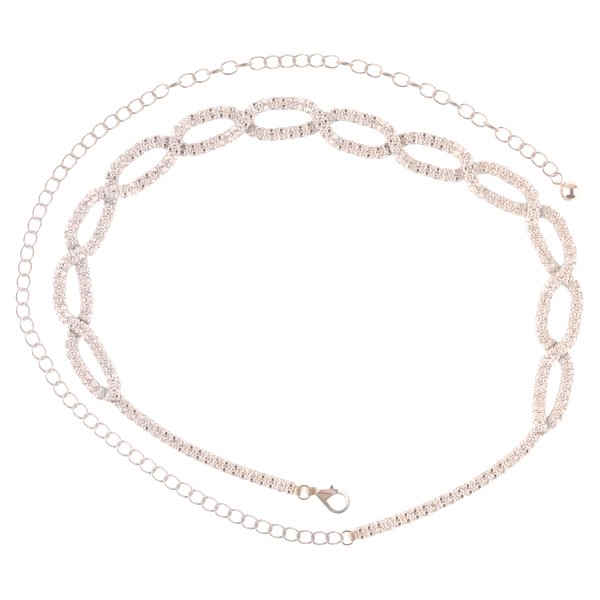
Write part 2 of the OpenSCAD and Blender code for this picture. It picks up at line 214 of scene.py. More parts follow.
@dataclass(frozen=True)
class Shape:
    """Points and faces of a mesh.

    Attributes:
        points: (n, 3) points in millimetres.
        faces: for each count of corners, an array with a row for each face.
        tones: for each array of faces, three colour shares and a mirror share at each corner.
    """

    points: Array
    faces: tuple[Array, ...]
    tones: tuple[Array, ...] | None = None

    def moved(self, by: tuple[float, float, float]) -> "Shape":
        """The shape at another place."""
        return Shape(self.points + np.array(by), self.faces, self.tones)

    def mirrored(self, x: float, y: float, z: float = 1.0) -> "Shape":
        """The shape mirrored along some axes, with its faces still outward.

        Args:
            x: -1 to mirror it along x, or 1.
            y: the same along y.
            z: the same along z.

        Returns:
            The mirrored shape.
        """
        way = slice(None, None, -1 if x * y * z < 0 else 1)
        tones = None if self.tones is None else tuple(t[:, way] for t in self.tones)
        return Shape(
            self.points * np.array([x, y, z]), tuple(f[:, way] for f in self.faces), tones)

    def toned(self, *tones: Array) -> "Shape":
        """The shape with tones for its arrays of faces.

        Args:
            tones: for each array of faces a tone, a row of them, or a row with one for each
                corner. Each of a row is repeated for an equal part of the faces.

        Returns:
            The shape with a tone at each corner.
        """
        spread = []
        for given, f in zip(tones, self.faces):
            rows = np.atleast_2d(given)
            rows = rows[:, None] if rows.ndim == 2 else rows
            rows = np.repeat(rows, len(f) // len(rows), axis=0)
            spread.append(np.broadcast_to(rows, (*f.shape, 4)))
        return Shape(self.points, self.faces, tuple(spread))

    def shaded(self, share: Callable[[Array], Array]) -> "Shape":
        """The shape with its tones' colour multiplied by a share for each place.

        Args:
            share: gives (n, 3) or (n, 1) shares for (n, 3) points.

        Returns:
            The shape with new tones.
        """
        shares = np.ones((len(self.points), 4))
        shares[:, :3] = share(self.points)
        return Shape(self.points, self.faces, tuple(
            t * shares[f] for f, t in zip(self.faces, self.tones)))

    def at(self, frames: Frames) -> "Shape":
        """A copy of the shape in each frame.

        A point (x, y, z) goes to the frame's origin + x ahead + y left + z up.

        Args:
            frames: the places and axes.

        Returns:
            All the copies as one shape.
        """
        n = len(frames.origin)
        points = frames.origin[:, None] + np.einsum("vk,nkj->nvj", self.points, frames.axes)
        step = (np.arange(n) * len(self.points))[:, None, None]
        faces = tuple((f[None] + step).reshape(-1, f.shape[1]) for f in self.faces)
        tones = None if self.tones is None else tuple(
            np.tile(t, (n, 1, 1)) for t in self.tones)
        return Shape(points.reshape(-1, 3), faces, tones)


def joined(*shapes: Shape) -> Shape:
    """Several shapes as one.

    Args:
        shapes: the shapes, all with tones or all without.

    Returns:
        One shape with all their points, faces and tones.
    """
    shift, faces, tones = 0, [], []
    for shape in shapes:
        faces += [f + shift for f in shape.faces]
        tones += shape.tones or []
        shift += len(shape.points)
    return Shape(np.vstack([s.points for s in shapes]), tuple(faces), tuple(tones) or None)


def tone(share: float, mirror: float) -> Array:
    """Tone with the same share of each colour, and a share of mirror shine."""
    return np.array([share, share, share, mirror])


def banded(rings: Array, wrapped: bool, capped: bool) -> Shape:
    """Skin over rings of points.

    Point j of ring i joins point j of ring i + 1 and point j + 1 of both.

    Args:
        rings: (rings, points of a ring, 3). Rings turn left about the direction in which they
            follow each other.
        wrapped: whether the last ring joins the first.
        capped: whether the two ends are closed with a face each.

    Returns:
        The shape.
    """
    n, m = rings.shape[:2]
    i = np.arange(n if wrapped else n - 1)[:, None]
    j = np.arange(m)[None]
    i1, j1 = (i + 1) % n, (j + 1) % m
    quads = np.stack([i * m + j, i * m + j1, i1 * m + j1, i1 * m + j], axis=-1).reshape(-1, 4)
    faces = [quads]
    if capped:
        faces += [np.arange(m)[None, ::-1], ((n - 1) * m + np.arange(m))[None]]
    return Shape(rings.reshape(-1, 3), tuple(faces))


def centre_of(node: str) -> Array:
    """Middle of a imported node's box, in millimetres."""
    low, high = (np.array(corner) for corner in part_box(node))
    return (low + high) / 2 / MM


def heading(degrees: float) -> Array:
    """Level direction at an azimuth."""
    return np.array([np.cos(np.radians(degrees)), np.sin(np.radians(degrees))])


def azimuth(v: Array) -> float:
    """Azimuth of a level vector, in degrees."""
    return float(np.degrees(np.arctan2(v[1], v[0])))


def arc(centre: Array, radius: float, start: float, end: float, step: float = ARC_STEP) -> Array:
    """Points of a circle between two azimuths in degrees, with both ends."""
    t = np.radians(np.linspace(start, end, 2 + int(abs(end - start) / step)))
    return centre + radius * np.stack([np.cos(t), np.sin(t)], axis=1)


def touch(p: Array, centre: Array, radius: float, side: int) -> float:
    """Azimuth at which the line from a point touches a circle, on the given side of it."""
    d = np.linalg.norm(centre - p)
    return azimuth(p - centre) - side * float(np.degrees(np.arccos(radius / d)))


def dense(outline: Array, step: float) -> Array:
    """Closed outline with its long edges divided into equal parts.

    Args:
        outline: corners in order.
        step: longest part.

    Returns:
        The corners with new points between them.
    """
    edge = np.roll(outline, -1, axis=0) - outline
    parts = np.ceil(np.linalg.norm(edge, axis=1) / step).astype(int).clip(1)
    which = np.repeat(np.arange(len(outline)), parts)
    first = np.repeat(np.cumsum(parts) - parts, parts)
    share = (np.arange(len(which)) - first) / parts[which]
    return outline[which] + edge[which] * share[:, None]


def inward(outline: Array) -> tuple[Array, Array]:
    """Inward direction at each point of a closed outline, and how far it stays clear.

    The direction is square to the mean of the two edges. The distance is the radius of the
    largest circle inside that touches the outline there: the least of |q - p|^2 over twice
    the inward part of q - p, for all other points q.

    Args:
        outline: points in a left turn.

    Returns:
        Unit vectors and distances.
    """
    ahead = unit(np.roll(outline, -1, axis=0) - outline)
    way = unit(turned_left(ahead + np.roll(ahead, 1, axis=0)))
    to = outline[None] - outline[:, None]
    part = (to * way[:, None]).sum(axis=2)
    radius = np.where(part > 1e-6, (to**2).sum(axis=2) / (2 * part.clip(1e-6)), np.inf)
    return way, radius.min(axis=1)


@dataclass(frozen=True)
class Rounding:
    """Rounded edge of a plate.

    Attributes:
        reach: how far the rounding runs in from the outline.
        drop: how far the outline lies under the plate's face.
        steps: steps of the rounding.
    """

    reach: float
    drop: float
    steps: int = 5

    def rings(self, outline: Array, face: float, up: int) -> Array:
        """Rings from the outline in to the flat face.

        At distance d the surface has risen by the drop times the root of 1 - (1 - d/reach)^2.

        Args:
            outline: points in a left turn.
            face: height of the flat face.
            up: 1 for the upper face, -1 for the lower one.

        Returns:
            (steps + 1, points, 3) points.
        """
        way, clear = inward(outline)
        q = np.linspace(0, np.pi / 2, self.steps + 1)[:, None]
        d = np.minimum(self.reach * (1 - np.cos(q)), CLEAR_SHARE * clear[None])
        z = face - up * self.drop * (1 - np.sqrt(1 - (1 - (d / self.reach).clip(0, 1)) ** 2))
        return np.concatenate([outline[None] + way[None] * d[..., None], z[..., None]], axis=2)


def plate(
        outline: Array, low: float, high: float, top: Rounding,
        under: Rounding | None) -> Shape:
    """Flat plate with rounded edges.

    Its tone goes evenly from the edge's painted shade to the flat face's painted highlight, ring
    by ring.

    Args:
        outline: corners in a left turn.
        low: height of its lower face.
        high: height of its upper face.
        top: rounding of the upper edge.
        under: rounding of the lower edge, or none for a sharp one.

    Returns:
        The closed plate.
    """
    outline = dense(outline, PLATE_STEP)
    upper = top.rings(outline, high, 1)
    lower = with_height(outline, low)[None]
    if under is not None:
        lower = under.rings(outline, low, -1)[::-1]
    skin = banded(np.concatenate([lower, upper]), wrapped=False, capped=True)
    rise = np.concatenate([
        np.linspace(1, 0, len(lower)), np.linspace(0, 1, len(upper))])[:, None]
    # Painted shade at the rounded edge, painted highlight on the flat faces
    edge, face = tone(EDGE_SHADE_SHARE, EDGE_MIRROR), tone(FACE_HIGHLIGHT_SHARE, FACE_MIRROR)
    rows = edge + (face - edge) * rise
    return skin.toned(np.stack([rows[:-1], rows[:-1], rows[1:], rows[1:]], axis=1), face, face)


def placed(shape: Shape, at: Array, turn: float) -> Shape:
    """The shape turned about the vertical and moved.

    Args:
        shape: the shape.
        at: where its origin goes.
        turn: azimuth of its x axis, in degrees.

    Returns:
        The shape in its place.
    """
    x, y = heading(turn)
    axes = np.array([[x, y, 0.0], [-y, x, 0.0], [0.0, 0.0, 1.0]])
    return Shape(shape.points @ axes + at, shape.faces, shape.tones)


def level_ring(angles: Array, radius: float, height: float) -> Array:
    """Points of a level circle at the given angles."""
    return np.stack(
        [radius * np.cos(angles), radius * np.sin(angles), np.full(len(angles), height)], axis=1)


def leveled(outline: Array, levels: Array) -> Array:
    """Rings from a plan outline: each level has a share of its size and a height."""
    return np.concatenate([
        outline[None] * levels[:, None, :1],
        np.broadcast_to(levels[:, None, 1:], (len(levels), len(outline), 1))], axis=2)


def make_piece(name: str, shape: Shape, shade: Shade) -> bpy.types.Object:
    """Object with the shape as its mesh, at the origin.

    Args:
        name: the piece's name.
        shape: its points and faces. Its tones are kept as the attribute "tone".
        shade: flat faces, or smooth ones with sharp edges past the shade's angle.

    Returns:
        The new object.
    """
    mesh = bpy.data.meshes.new(name)
    corners = [row for rows in shape.faces for row in rows.tolist()]
    mesh.from_pydata((shape.points * MM).tolist(), [], corners)
    if shade is Shade.ROUNDED:
        mesh.shade_smooth()
        mesh.set_sharp_from_angle(angle=np.radians(shade.value))
    if shape.tones is not None:
        layer = mesh.attributes.new("tone", "FLOAT_COLOR", "CORNER")
        layer.data.foreach_set("color", np.concatenate([t.ravel() for t in shape.tones]))
    mesh.validate()
    piece = bpy.data.objects.new(name, mesh)
    bpy.context.scene.collection.objects.link(piece)
    return piece


def fitted(
        piece: bpy.types.Object, material: bpy.types.Material, body: str, slot: str,
        *nodes: str) -> bpy.types.Object:
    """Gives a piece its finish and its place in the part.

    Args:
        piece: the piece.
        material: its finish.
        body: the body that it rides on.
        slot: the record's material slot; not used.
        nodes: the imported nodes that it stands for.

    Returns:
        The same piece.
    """
    piece.data.materials.append(material)
    if nodes:
        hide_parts(*nodes)
    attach(piece, body)
    return piece


@dataclass
class NodeTree:
    """The nodes of a material or of the world, with short ways to add and join them.

    Attributes:
        tree: the tree that holds them.
    """

    tree: bpy.types.NodeTree

    def add(
            self, kind: str, values: dict[str | int, object] | None = None,
            **props: object) -> bpy.types.Node:
        """New node.

        Args:
            kind: the node's type name.
            values: names or numbers of input sockets, as for fill.
            props: the node's own settings.

        Returns:
            The node.
        """
        node = self.tree.nodes.new(kind)
        for key, value in props.items():
            setattr(node, key, value)
        self.fill(node, values or {})
        return node

    def fill(self, node: bpy.types.Node, values: dict[str | int, object]) -> None:
        """Sets a node's input sockets.

        Args:
            node: the node.
            values: for each socket its value, or the other node's socket that feeds it.
        """
        for key, value in values.items():
            if isinstance(value, bpy.types.NodeSocket):
                self.tree.links.new(value, node.inputs[key])
            else:
                node.inputs[key].default_value = value

    def noise(
            self, place: bpy.types.NodeSocket, scale: float, detail: float = 2.0,
            distortion: float = 0.0) -> bpy.types.NodeSocket:
        """Noise with a scale in 1/m."""
        values = {
            "Vector": place, "Scale": scale, "Detail": detail, "Distortion": distortion}
        return self.add("ShaderNodeTexNoise", values).outputs["Fac"]

    def ranged(
            self, value: bpy.types.NodeSocket, low: float, high: float,
            start: float = 0.0, end: float = 1.0) -> bpy.types.NodeSocket:
        """A value's way from start to end as a way from low to high."""
        values = {
            "Value": value, "From Min": start, "From Max": end, "To Min": low, "To Max": high}
        return self.add("ShaderNodeMapRange", values).outputs["Result"]

    def step(
            self, value: bpy.types.NodeSocket, low: float,
            high: float) -> bpy.types.NodeSocket:
        """Smooth step from 0 at low to 1 at high."""
        values = {"Value": value, "From Min": low, "From Max": high}
        return self.add(
            "ShaderNodeMapRange", values, interpolation_type="SMOOTHSTEP").outputs["Result"]

    def maths(self, operation: str, *values: object) -> bpy.types.NodeSocket:
        """Result of an operation on one or two numbers."""
        return self.add(
            "ShaderNodeMath", dict(enumerate(values)), operation=operation).outputs[0]

    def blended(
            self, share: object, low: object, high: object,
            way: str = "MIX") -> bpy.types.NodeSocket:
        """Colour from two others.

        Args:
            share: share of the second one.
            low: the first one, as three numbers or a socket.
            high: the second one.
            way: how they are put together.

        Returns:
            The socket of the colour.
        """
        first, second = ((*c, 1) if isinstance(c, tuple) else c for c in (low, high))
        values = {"Fac": share, "Color1": first, "Color2": second}
        return self.add("ShaderNodeMixRGB", values, blend_type=way).outputs["Color"]


def new_material(name: str) -> tuple[bpy.types.Material, NodeTree, bpy.types.Node]:
    """Material with one Principled shader.

    Args:
        name: the material's name.

    Returns:
        The material, its node helper and the shader.
    """
    material = bpy.data.materials.new(name)
    material.use_nodes = True
    return material, NodeTree(material.node_tree), material.node_tree.nodes["Principled BSDF"]


@dataclass(frozen=True)
class PlatedMetal:
    """Polished plate with slight cloudiness, fine rub marks and a warmer tint in patches.

    Attributes:
        name: the material's name.
        colour: main colour, linear.
        patch: colour of the warmer patches, linear.
        patch_from: noise at which a patch starts, and where its colour is full.
        rough: lowest and highest roughness.
        rough_from: noise at which the roughness starts to rise, and where it is highest.
        grain: size of the patches, in 1/m.
        rub_scale: how many times finer the rub marks are.
        relief: strength of the rub marks.
        rub_depth: depth of the rub marks, in metres.
        metallic: share of the mirror shine, where the tones don't give it; less looks hazy.
        toned: whether the faces' tones multiply the colour and give the mirror shine.
    """

    name: str
    colour: tuple[float, float, float]
    patch: tuple[float, float, float]
    patch_from: tuple[float, float] = (0.35, 0.65)
    rough: tuple[float, float] = (0.08, 0.2)
    rough_from: tuple[float, float] = (0.3, 0.7)
    grain: float = 900.0
    rub_scale: float = 6.0
    relief: float = 0.05
    rub_depth: float = 0.0001
    metallic: float = 1.0
    toned: bool = False

    def build(self) -> bpy.types.Material:
        """The finish as a material on Object coordinates.

        Returns:
            The material.
        """
        material, nodes, shader = new_material(self.name)
        place = nodes.add("ShaderNodeTexCoord").outputs["Object"]
        clouds = nodes.noise(place, self.grain, detail=3.0)
        rubs = nodes.noise(place, self.grain * self.rub_scale, distortion=1.0)
        tint = self.patched(nodes, clouds)
        rough = nodes.ranged(clouds, *self.rough, *self.rough_from)
        bump = nodes.add("ShaderNodeBump", {
            "Height": rubs, "Strength": self.relief, "Distance": self.rub_depth})
        metallic: float | bpy.types.NodeSocket = self.metallic
        if self.toned:
            face = nodes.add("ShaderNodeAttribute", attribute_name="tone").outputs
            tint = nodes.blended(1.0, tint, face["Color"], "MULTIPLY")
            metallic = face["Alpha"]
        nodes.fill(shader, {
            "Base Color": tint, "Metallic": metallic, "Roughness": rough,
            "Normal": bump.outputs["Normal"]})
        return material

    def patched(self, nodes: NodeTree, clouds: bpy.types.NodeSocket) -> bpy.types.NodeSocket:
        """Colour that goes from the main one to the patches' with the noise.

        Args:
            nodes: the material's nodes.
            clouds: the noise.

        Returns:
            The socket of the colour.
        """
        ramp = nodes.add("ShaderNodeValToRGB", {"Fac": clouds})
        low, high = ramp.color_ramp.elements
        low.position, high.position = self.patch_from
        low.color, high.color = (*self.colour, 1), (*self.patch, 1)
        return ramp.outputs["Color"]


@dataclass(frozen=True)
class FoiledStone:
    """Clear cut stone on foil: each facet mirrors the light with its own faint tint.

    Attributes:
        name: the material's name.
        colour: the foil's colour through the stone, linear.
        rough: lowest and highest roughness of the facets.
        grain: size of the duller places, in 1/m.
        coat: share and roughness of the clear shine over the facets.
    """

    name: str
    colour: tuple[float, float, float]
    rough: tuple[float, float] = (0.04, 0.08)
    grain: float = 2500.0
    coat: tuple[float, float] = (0.5, 0.02)

    def build(self) -> bpy.types.Material:
        """The finish as a material that multiplies its colour by the facet's tone.

        Returns:
            The material.
        """
        material, nodes, shader = new_material(self.name)
        face = nodes.add("ShaderNodeAttribute", attribute_name="tone").outputs
        place = nodes.add("ShaderNodeTexCoord").outputs["Object"]
        inside = nodes.noise(place, self.grain, detail=1.0)
        rough = nodes.ranged(inside, *self.rough)
        coat, coat_rough = self.coat
        nodes.fill(shader, {
            "Base Color": nodes.blended(1.0, self.colour, face["Color"], "MULTIPLY"),
            "Metallic": face["Alpha"], "Roughness": rough,
            "Coat Weight": coat, "Coat Roughness": coat_rough})
        return material


@dataclass(frozen=True)
class TableTop:
    """Pale matt board that the chain lies on.

    Attributes:
        colour: its colour, linear.
        glow: light of its own, which only the camera sees and which softens the shadows.
        rough: lowest and highest roughness.
        grain: size of its grain, in 1/m.
    """

    colour: tuple[float, float, float] = (0.88, 0.88, 0.88)
    glow: float = 0.3
    rough: tuple[float, float] = (0.8, 0.95)
    grain: float = 300.0

    def build(self) -> bpy.types.Material:
        """The finish as a matt material with a faint grain.

        Returns:
            The material.
        """
        material, nodes, shader = new_material("pale_board")
        place = nodes.add("ShaderNodeTexCoord").outputs["Object"]
        rough = nodes.ranged(nodes.noise(place, self.grain), *self.rough)
        seen = nodes.add("ShaderNodeLightPath").outputs["Is Camera Ray"]
        nodes.fill(shader, {
            "Roughness": rough, "Base Color": (*self.colour, 1),
            "Emission Color": (1, 1, 1, 1),
            "Emission Strength": nodes.maths("MULTIPLY", seen, self.glow)})
        return material


@dataclass(frozen=True)
class CutStone:
    """Round stone with a table, eight star facets, eight kites and sixteen girdle facets.

    Attributes:
        girdle: radius at the widest.
        table: radius of the table's corners.
        crown: height from the girdle to the table.
        pavilion: depth under the girdle.
        middle: radius where star, kite and girdle facets meet.
    """

    girdle: float = 1.3
    table: float = 0.66
    crown: float = 0.5
    pavilion: float = 0.3
    middle: float = 1.03

    def shape(self) -> Shape:
        """The stone with its girdle's middle at the origin.

        Table corners lie at odd multiples of 22.5 degrees, the middle points at even ones and the
        girdle's points at both. A middle point's height lies on the plane of its kites.

        Returns:
            The closed stone.
        """
        eighth = np.pi / 4
        k = np.arange(8)
        share = (self.middle * np.cos(eighth / 2) - self.table) / (self.girdle - self.table)
        table = level_ring(eighth * (k + 0.5), self.table, self.crown)
        middle = level_ring(eighth * k, self.middle, self.crown * (1 - share))
        girdle = level_ring(eighth / 2 * np.arange(16), self.girdle, 0.0)
        points = np.vstack([table, middle, girdle, [[0, 0, -self.pavilion]]])
        # Numbers of the table's and the middle points, and of the girdle's points outside the
        # middle ones, after them and before them
        t, m, g = k, 8 + k, 16 + 2 * k
        odd, before = g + 1, 16 + (2 * k - 1) % 16
        j = np.arange(16)
        return Shape(points, (
            k[None],
            np.stack([t, m, odd, np.roll(m, -1)], axis=1),
            np.vstack([
                np.stack([np.roll(t, 1), m, t], axis=1),
                np.stack([m, g, odd], axis=1),
                np.stack([m, before, g], axis=1),
                np.stack([np.full(16, 32), 16 + (j + 1) % 16, 16 + j], axis=1)]),
        ))


@dataclass(frozen=True)
class Cup:
    """Round cup with four claws that hold a stone.

    Attributes:
        half_length: half of its length along the strip.
        half_width: half of its width across it.
        squareness: power of the outline: 1 is an ellipse, less is squarer.
        foot: height of its foot, inside the bed.
        rim: height of its rim.
        lip: height of the bevel at the rim.
        seat: height of the floor under the stone.
        claw_at: how far from the cup's middle the claws stand, along and across.
        claw: half width of a claw at its foot.
        claw_foot: how far the claws reach down from the rim.
        claw_top: height of the claws.
        claw_bend: height of their bent tips.
    """

    half_length: float = 1.45
    half_width: float = 1.42
    squareness: float = 0.85
    foot: float = 0.7
    rim: float = 1.62
    lip: float = 0.15
    seat: float = 1.2
    claw_at: tuple[float, float] = (1.25, 1.08)
    claw: float = 0.3
    claw_foot: float = 0.7
    claw_top: float = 2.0
    claw_bend: float = 0.2

    def wall(self) -> Shape:
        """Wall of the cup as bands of a rounded outline.

        A place at angle t is (cos t, sin t) with each number raised to the squareness, times the
        half sizes, times the level's share.

        Returns:
            The closed cup, with its floor at the seat.
        """
        t = np.arange(12) * np.pi / 6 + np.pi / 12
        c, s = np.cos(t), np.sin(t)
        outline = np.stack([
            self.half_length * np.sign(c) * abs(c) ** self.squareness,
            self.half_width * np.sign(s) * abs(s) ** self.squareness], axis=1)
        # Foot, edge of the lip, top of the lip and seat
        levels = np.array([
            [0.9, self.foot], [1.0, self.rim - self.lip], [0.94, self.rim], [0.84, self.seat]])
        wall = banded(leveled(outline, levels), wrapped=False, capped=True)
        # Outside, lip and inside: painted shade on the walls, painted highlight on the lip, and
        # painted shade on both floors
        bands = np.stack([tone(0.68, 0.55), tone(1.02, 0.5), tone(0.7, 0.45)])
        return wall.toned(bands, tone(0.5, 0.5), tone(0.5, 0.5))

    def claw_shape(self) -> Shape:
        """Claw at the corner with positive x and y: a bar that bends over the stone.

        A section is a circle of five points: its middle is the claw's place times a share, and
        its radius is the claw's half width times another.

        Returns:
            The closed claw.
        """
        # Share of the place, height, and share of the half width: foot, bend and tip
        levels = np.array([
            [1.0, self.rim - self.claw_foot, 1.0], [0.96, self.claw_top - self.claw_bend, 1.0],
            [0.86, self.claw_top, 0.5]])
        t = np.arange(5) * 2 * np.pi / 5
        rings = np.stack([level_ring(t, self.claw * width, z) for _, z, width in levels])
        rings[..., :2] += np.array(self.claw_at) * levels[:, None, :1]
        # Painted highlight: the claws are lighter than the rest of the setting
        bright = tone(1.15, 0.4)
        return banded(rings, wrapped=False, capped=True).toned(bright, bright, bright)

    def shape(self) -> Shape:
        """The cup with its four claws."""
        claw = self.claw_shape()
        return joined(
            self.wall(), *(claw.mirrored(x, y) for x in (1.0, -1.0) for y in (1.0, -1.0)))


@dataclass(frozen=True)
class Bed:
    """Metal plate that carries two cups side by side, with a tab to the next plate.

    Attributes:
        length: length along the strip.
        width: width across both rows.
        top: height of the plate.
        cut: how much of each corner is cut off.
        bevel: height of the bevelled edges.
        tab_width: width of the rounded tab in each row.
        tab_top: height of the rounded tab.
        tab_foot: how far the tab reaches down into the plate.
    """

    length: float = 3.92
    width: float = 5.5
    top: float = 1.05
    cut: float = 0.35
    bevel: float = 0.2
    tab_width: float = 1.5
    tab_top: float = 1.35
    tab_foot: float = 0.4

    def plate(self) -> Shape:
        """Plate with cut corners and bevelled edges, as bands of its outline.

        Returns:
            The closed plate.
        """
        x, y, c = self.length / 2, self.width / 2, self.cut
        outline = np.array([
            [x, -y + c], [x, y - c], [x - c, y], [c - x, y],
            [-x, y - c], [-x, c - y], [c - x, -y], [x - c, -y]])
        levels = np.array([
            [0.93, 0.0], [1.0, self.bevel], [1.0, self.top - self.bevel], [0.94, self.top]])
        base = banded(leveled(outline, levels), wrapped=False, capped=True)
        # Painted shade: sides and underside are darker than the top, and the top between the cups
        # is a little darker too
        return base.toned(tone(0.6, 0.55), tone(0.6, 0.55), tone(0.88, 0.45))

    def tab(self, length: float) -> Shape:
        """Half-round bar along x: its section is half an ellipse over a flat underside.

        Args:
            length: the bar's length.

        Returns:
            The closed bar.
        """
        t = np.linspace(0, np.pi, 6)
        low = self.top - self.tab_foot
        section = np.stack([
            self.tab_width / 2 * np.cos(t), low + (self.tab_top - low) * np.sin(t)], axis=1)
        rings = np.empty((2, 6, 3))
        rings[:, :, 0] = np.array([[-length / 2], [length / 2]])
        rings[:, :, 1:] = section[None]
        # Painted shade: the tabs between the cups are a little darker
        grey = tone(0.95, 0.5)
        return banded(rings, wrapped=False, capped=True).toned(grey, grey, grey)


@dataclass(frozen=True)
class StoneTints:
    """Faint tints of the stones' facets: three colour shares and a mirror share each.

    Attributes:
        facets: near white, pink, gold, grey and full mirror.
        chances: share of the facets that get each of these.
        dark: a table that mirrors the dim ceiling.
        cloudy: a clouded table.
        brown: a clouded table with a brown tint.
        clouded: share of clouded tables, in the middle of the ring and at its sides; the rise
            towards the sides is painted light.
        loops_from: distance from the middle where the loops' clouded tables start to be more.
        straps_from: the same for the straps.
        fade: length over which such a change goes on.
        browned: share of brown among the clouded tables at the right, a painted warm light.
        brown_from: where the brown ones start.
        level: least upward part of a level table's direction.
        lean: how much less of it a stone on a ramp has.
        calmed: mirror share that a stone on a ramp loses, for painted even light in place of the
            dark reflection.
        calm_from: distance from the middle where the loops at the sides start to lose some too.
        calm: share of this loss at the left and at the right.
    """

    facets: tuple[tuple[float, float, float, float], ...] = (
        (1.0, 0.99, 0.98, 0.4), (1.0, 0.88, 0.86, 0.45), (1.0, 0.92, 0.78, 0.45),
        (0.8, 0.74, 0.73, 0.6), (1.2, 1.2, 1.2, 0.9))
    chances: tuple[float, ...] = (0.42, 0.2, 0.1, 0.18, 0.1)
    dark: tuple[float, float, float, float] = (0.85, 0.77, 0.75, 0.95)
    cloudy: tuple[float, float, float, float] = (0.84, 0.78, 0.77, 0.42)
    brown: tuple[float, float, float, float] = (0.93, 0.81, 0.73, 0.6)
    clouded: tuple[float, float] = (0.3, 0.97)
    loops_from: float = 55.0
    straps_from: float = 76.0
    fade: float = 30.0
    browned: float = 0.75
    brown_from: float = 30.0
    level: float = 0.985
    lean: float = 0.04
    calmed: float = 0.45
    calm_from: float = 60.0
    calm: tuple[float, float] = (0.45, 0.7)

    def tables(self, at: Array, rng: np.random.Generator) -> Array:
        """Tints of the tables.

        Most are dark mirrors, and some are clouded at random. Towards the sides of the ring most
        are clouded, and at the right side the clouded ones are brown: painted light in place of
        the paler and warmer reflections there.

        Args:
            at: (n, 3) middles of the tables.
            rng: source of the choice.

        Returns:
            (n, 4) tints.
        """
        # Painted light: more clouded tables towards the sides, and brown ones at the right
        start = np.where(at[:, 1] > STRAP_Y, self.loops_from, self.straps_from)
        middle, sides = self.clouded
        share = middle + (sides - middle) * climb(abs(at[:, 0]), start, start + self.fade)
        clouded = rng.random(len(at)) < share
        browned = self.browned * climb(at[:, 0], self.brown_from, self.brown_from + self.fade)
        brown = rng.random(len(at)) < browned
        cloud = np.where(brown[:, None], self.brown, self.cloudy)
        return np.where(clouded[:, None], cloud, self.dark)

    def painted_light_mirror_share(self, at: Array, up: Array) -> Array:
        """Share of the mirror shine that a stone keeps; where it keeps less, painted even light
        takes the place of the room's reflection.

        Args:
            at: (n, 3) middles of the tables.
            up: upward parts of their directions.

        Returns:
            Less than 1 on the ramps and in the loops at both sides.
        """
        ramp = climb(up, self.level, self.level - self.lean)
        left, right = self.calm
        side = climb(abs(at[:, 0]), self.calm_from, self.calm_from + self.fade)
        side = side * (at[:, 1] > STRAP_Y) * np.where(at[:, 0] > 0, right, left)
        return 1 - self.calmed * np.maximum(ramp, side)

    def toned(self, stones: Shape, rng: np.random.Generator) -> Shape:
        """The stones with a tint on each facet.

        Args:
            stones: all the stones of a piece.
            rng: source of the tints.

        Returns:
            The shape with its tones.
        """
        tints = [
            np.array(self.facets)[rng.choice(len(self.facets), len(f), p=self.chances)]
            for f in stones.faces]
        table = stones.points[stones.faces[0]]
        middle = table.mean(axis=1)
        tints[0] = self.tables(middle, rng)
        up = unit(np.cross(table[:, 2] - table[:, 0], table[:, 4] - table[:, 0]))[:, 2]
        # Painted light: stones on ramps and in the side loops lose mirror shine
        kept = self.painted_light_mirror_share(middle, abs(up))
        for rows in tints:
            rows[:, 3] *= np.repeat(kept, len(rows) // len(kept))
        return stones.toned(*tints)


